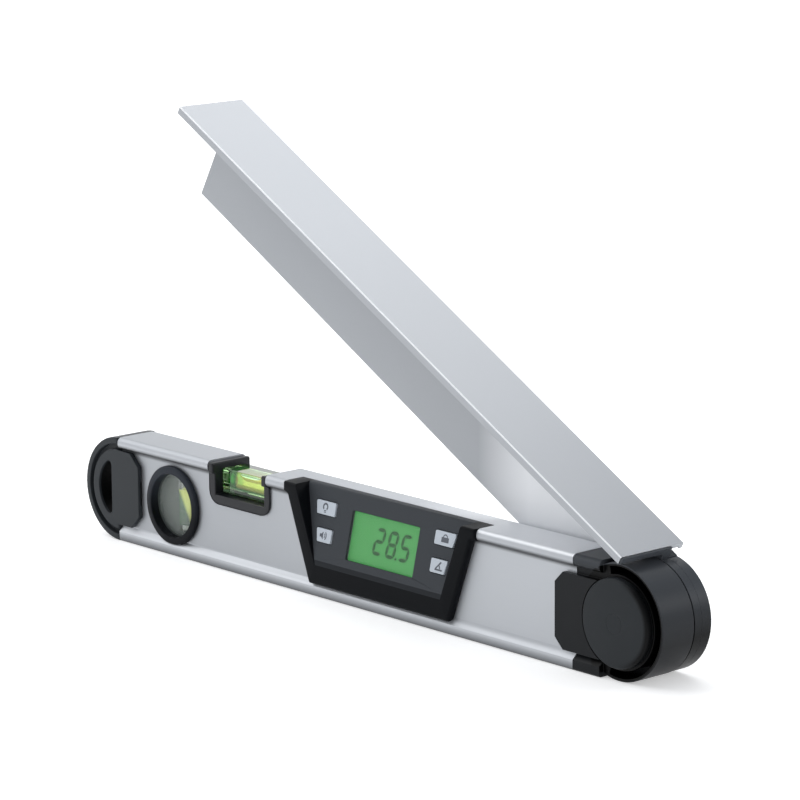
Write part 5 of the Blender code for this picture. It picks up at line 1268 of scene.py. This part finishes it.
# Hub plastic with painted shade toward the floor.
hub_plastic = skinned("hub_plastic", hub_painted_shade, 0.1, 0.28)
hub = rounded_copy("arm_hub", "hub_moulding", SEAM)
seam_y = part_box("hub_cover")[0].y
for vertex in hub.data.vertices:
    if seam_y - SEAM_REACH < vertex.co.y < seam_y:
        vertex.co.y += seam_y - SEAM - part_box("arm_hub")[1].y
shown(hub, hub_plastic, "dark_plastic", "arm_hub", body="arm")
moulding("hub_cover", "hub_cover_moulding", hub_plastic, width=SEAM, body="arm")


# Screws: steel socket screws with cylinder heads, in groups of one length. They hold the end cap,
# the hinge housing, the board, the hub cover and the arm's web.
SCREW = {
    "Head Radius": 0.0023, "Head Height": 0.0014, "Shank Radius": 0.0012, "Hex Radius": 0.0012,
    "Hex Depth": 0.0008,
}
SCREW_LAP = 0.0002

screw_tree, screw = recipe("socket_screws", {
    "Seats": "Geometry", **dict.fromkeys(SCREW, "Float"), "Shank Length": "Float",
    "Turn": "Vector", "Surface": "Material",
})


def screw_rod(sides, radius, height, foot):
    """Upright rod of the screw's tree, standing on a foot height."""
    rod = add_node(
        screw_tree, "GeometryNodeMeshCylinder",
        {"Vertices": sides, "Radius": radius, "Depth": height},
    )
    return rod.then("Transform", {"Translation": vector(screw_tree, z=foot + height * 0.5)})


screw_head = screw_rod(32, screw["Head Radius"], screw["Head Height"], 0.0)
screw_shank = screw_rod(
    16, screw["Shank Radius"], screw["Shank Length"] + SCREW_LAP, screw["Shank Length"] * -1.0,
)
screw_hex = screw_rod(
    6, screw["Hex Radius"], screw["Hex Depth"] * 2.0, screw["Head Height"] - screw["Hex Depth"],
)
screw_blank = add_node(
    screw_tree, "GeometryNodeMeshBoolean", operation="UNION", solver="EXACT",
)
for rod in (screw_head, screw_shank):
    screw_tree.links.new(rod.socket, screw_blank.socket.node.inputs[1])
screw_whole = screw_blank.then(
    "MeshBoolean", {1: screw_hex}, operation="DIFFERENCE", solver="EXACT",
)
screw_set = screw["Seats"].then("MeshToPoints").then("InstanceOnPoints", {
    "Instance": screw_whole, "Rotation": screw["Turn"],
})
close_recipe(screw_tree, screw_set, screw["Surface"])


def screws(name, body, lean, *nodes):
    """One group of like screws in place of their CAD solids, heads to the back and leaning down."""
    way = Vector((0.0, math.cos(lean), -math.sin(lean)))
    seats = []
    for node in nodes:
        low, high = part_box(node)
        length = (high.y - low.y - math.sin(lean) * SCREW["Head Radius"] * 2) / math.cos(lean)
        seats.append((low + high) / 2 + way * (length / 2 - SCREW["Head Height"]))
    group = grown(at_points(name, seats), screw_tree, **SCREW, **{
        "Shank Length": length - SCREW["Head Height"], "Turn": (-math.pi / 2 - lean, 0.0, 0.0),
        "Surface": steel_turned,
    })
    shown(softened(group, SCREW_LAP, 2), steel_turned, "steel", *nodes, body=body)


screws(
    "end_screws", "level", 0.0, "cap_screw_1", "cap_screw_2", "housing_screw_1", "housing_screw_2",
)
screws("hub_screws", "arm", 0.0, "hub_screw_1", "hub_screw_2", "hub_screw_3")
screws("web_screws", "arm", 0.0, "web_screw_1", "web_screw_2")
screws("board_screws", "level", PANEL_LEAN, "board_left_screw", "board_right_screw")
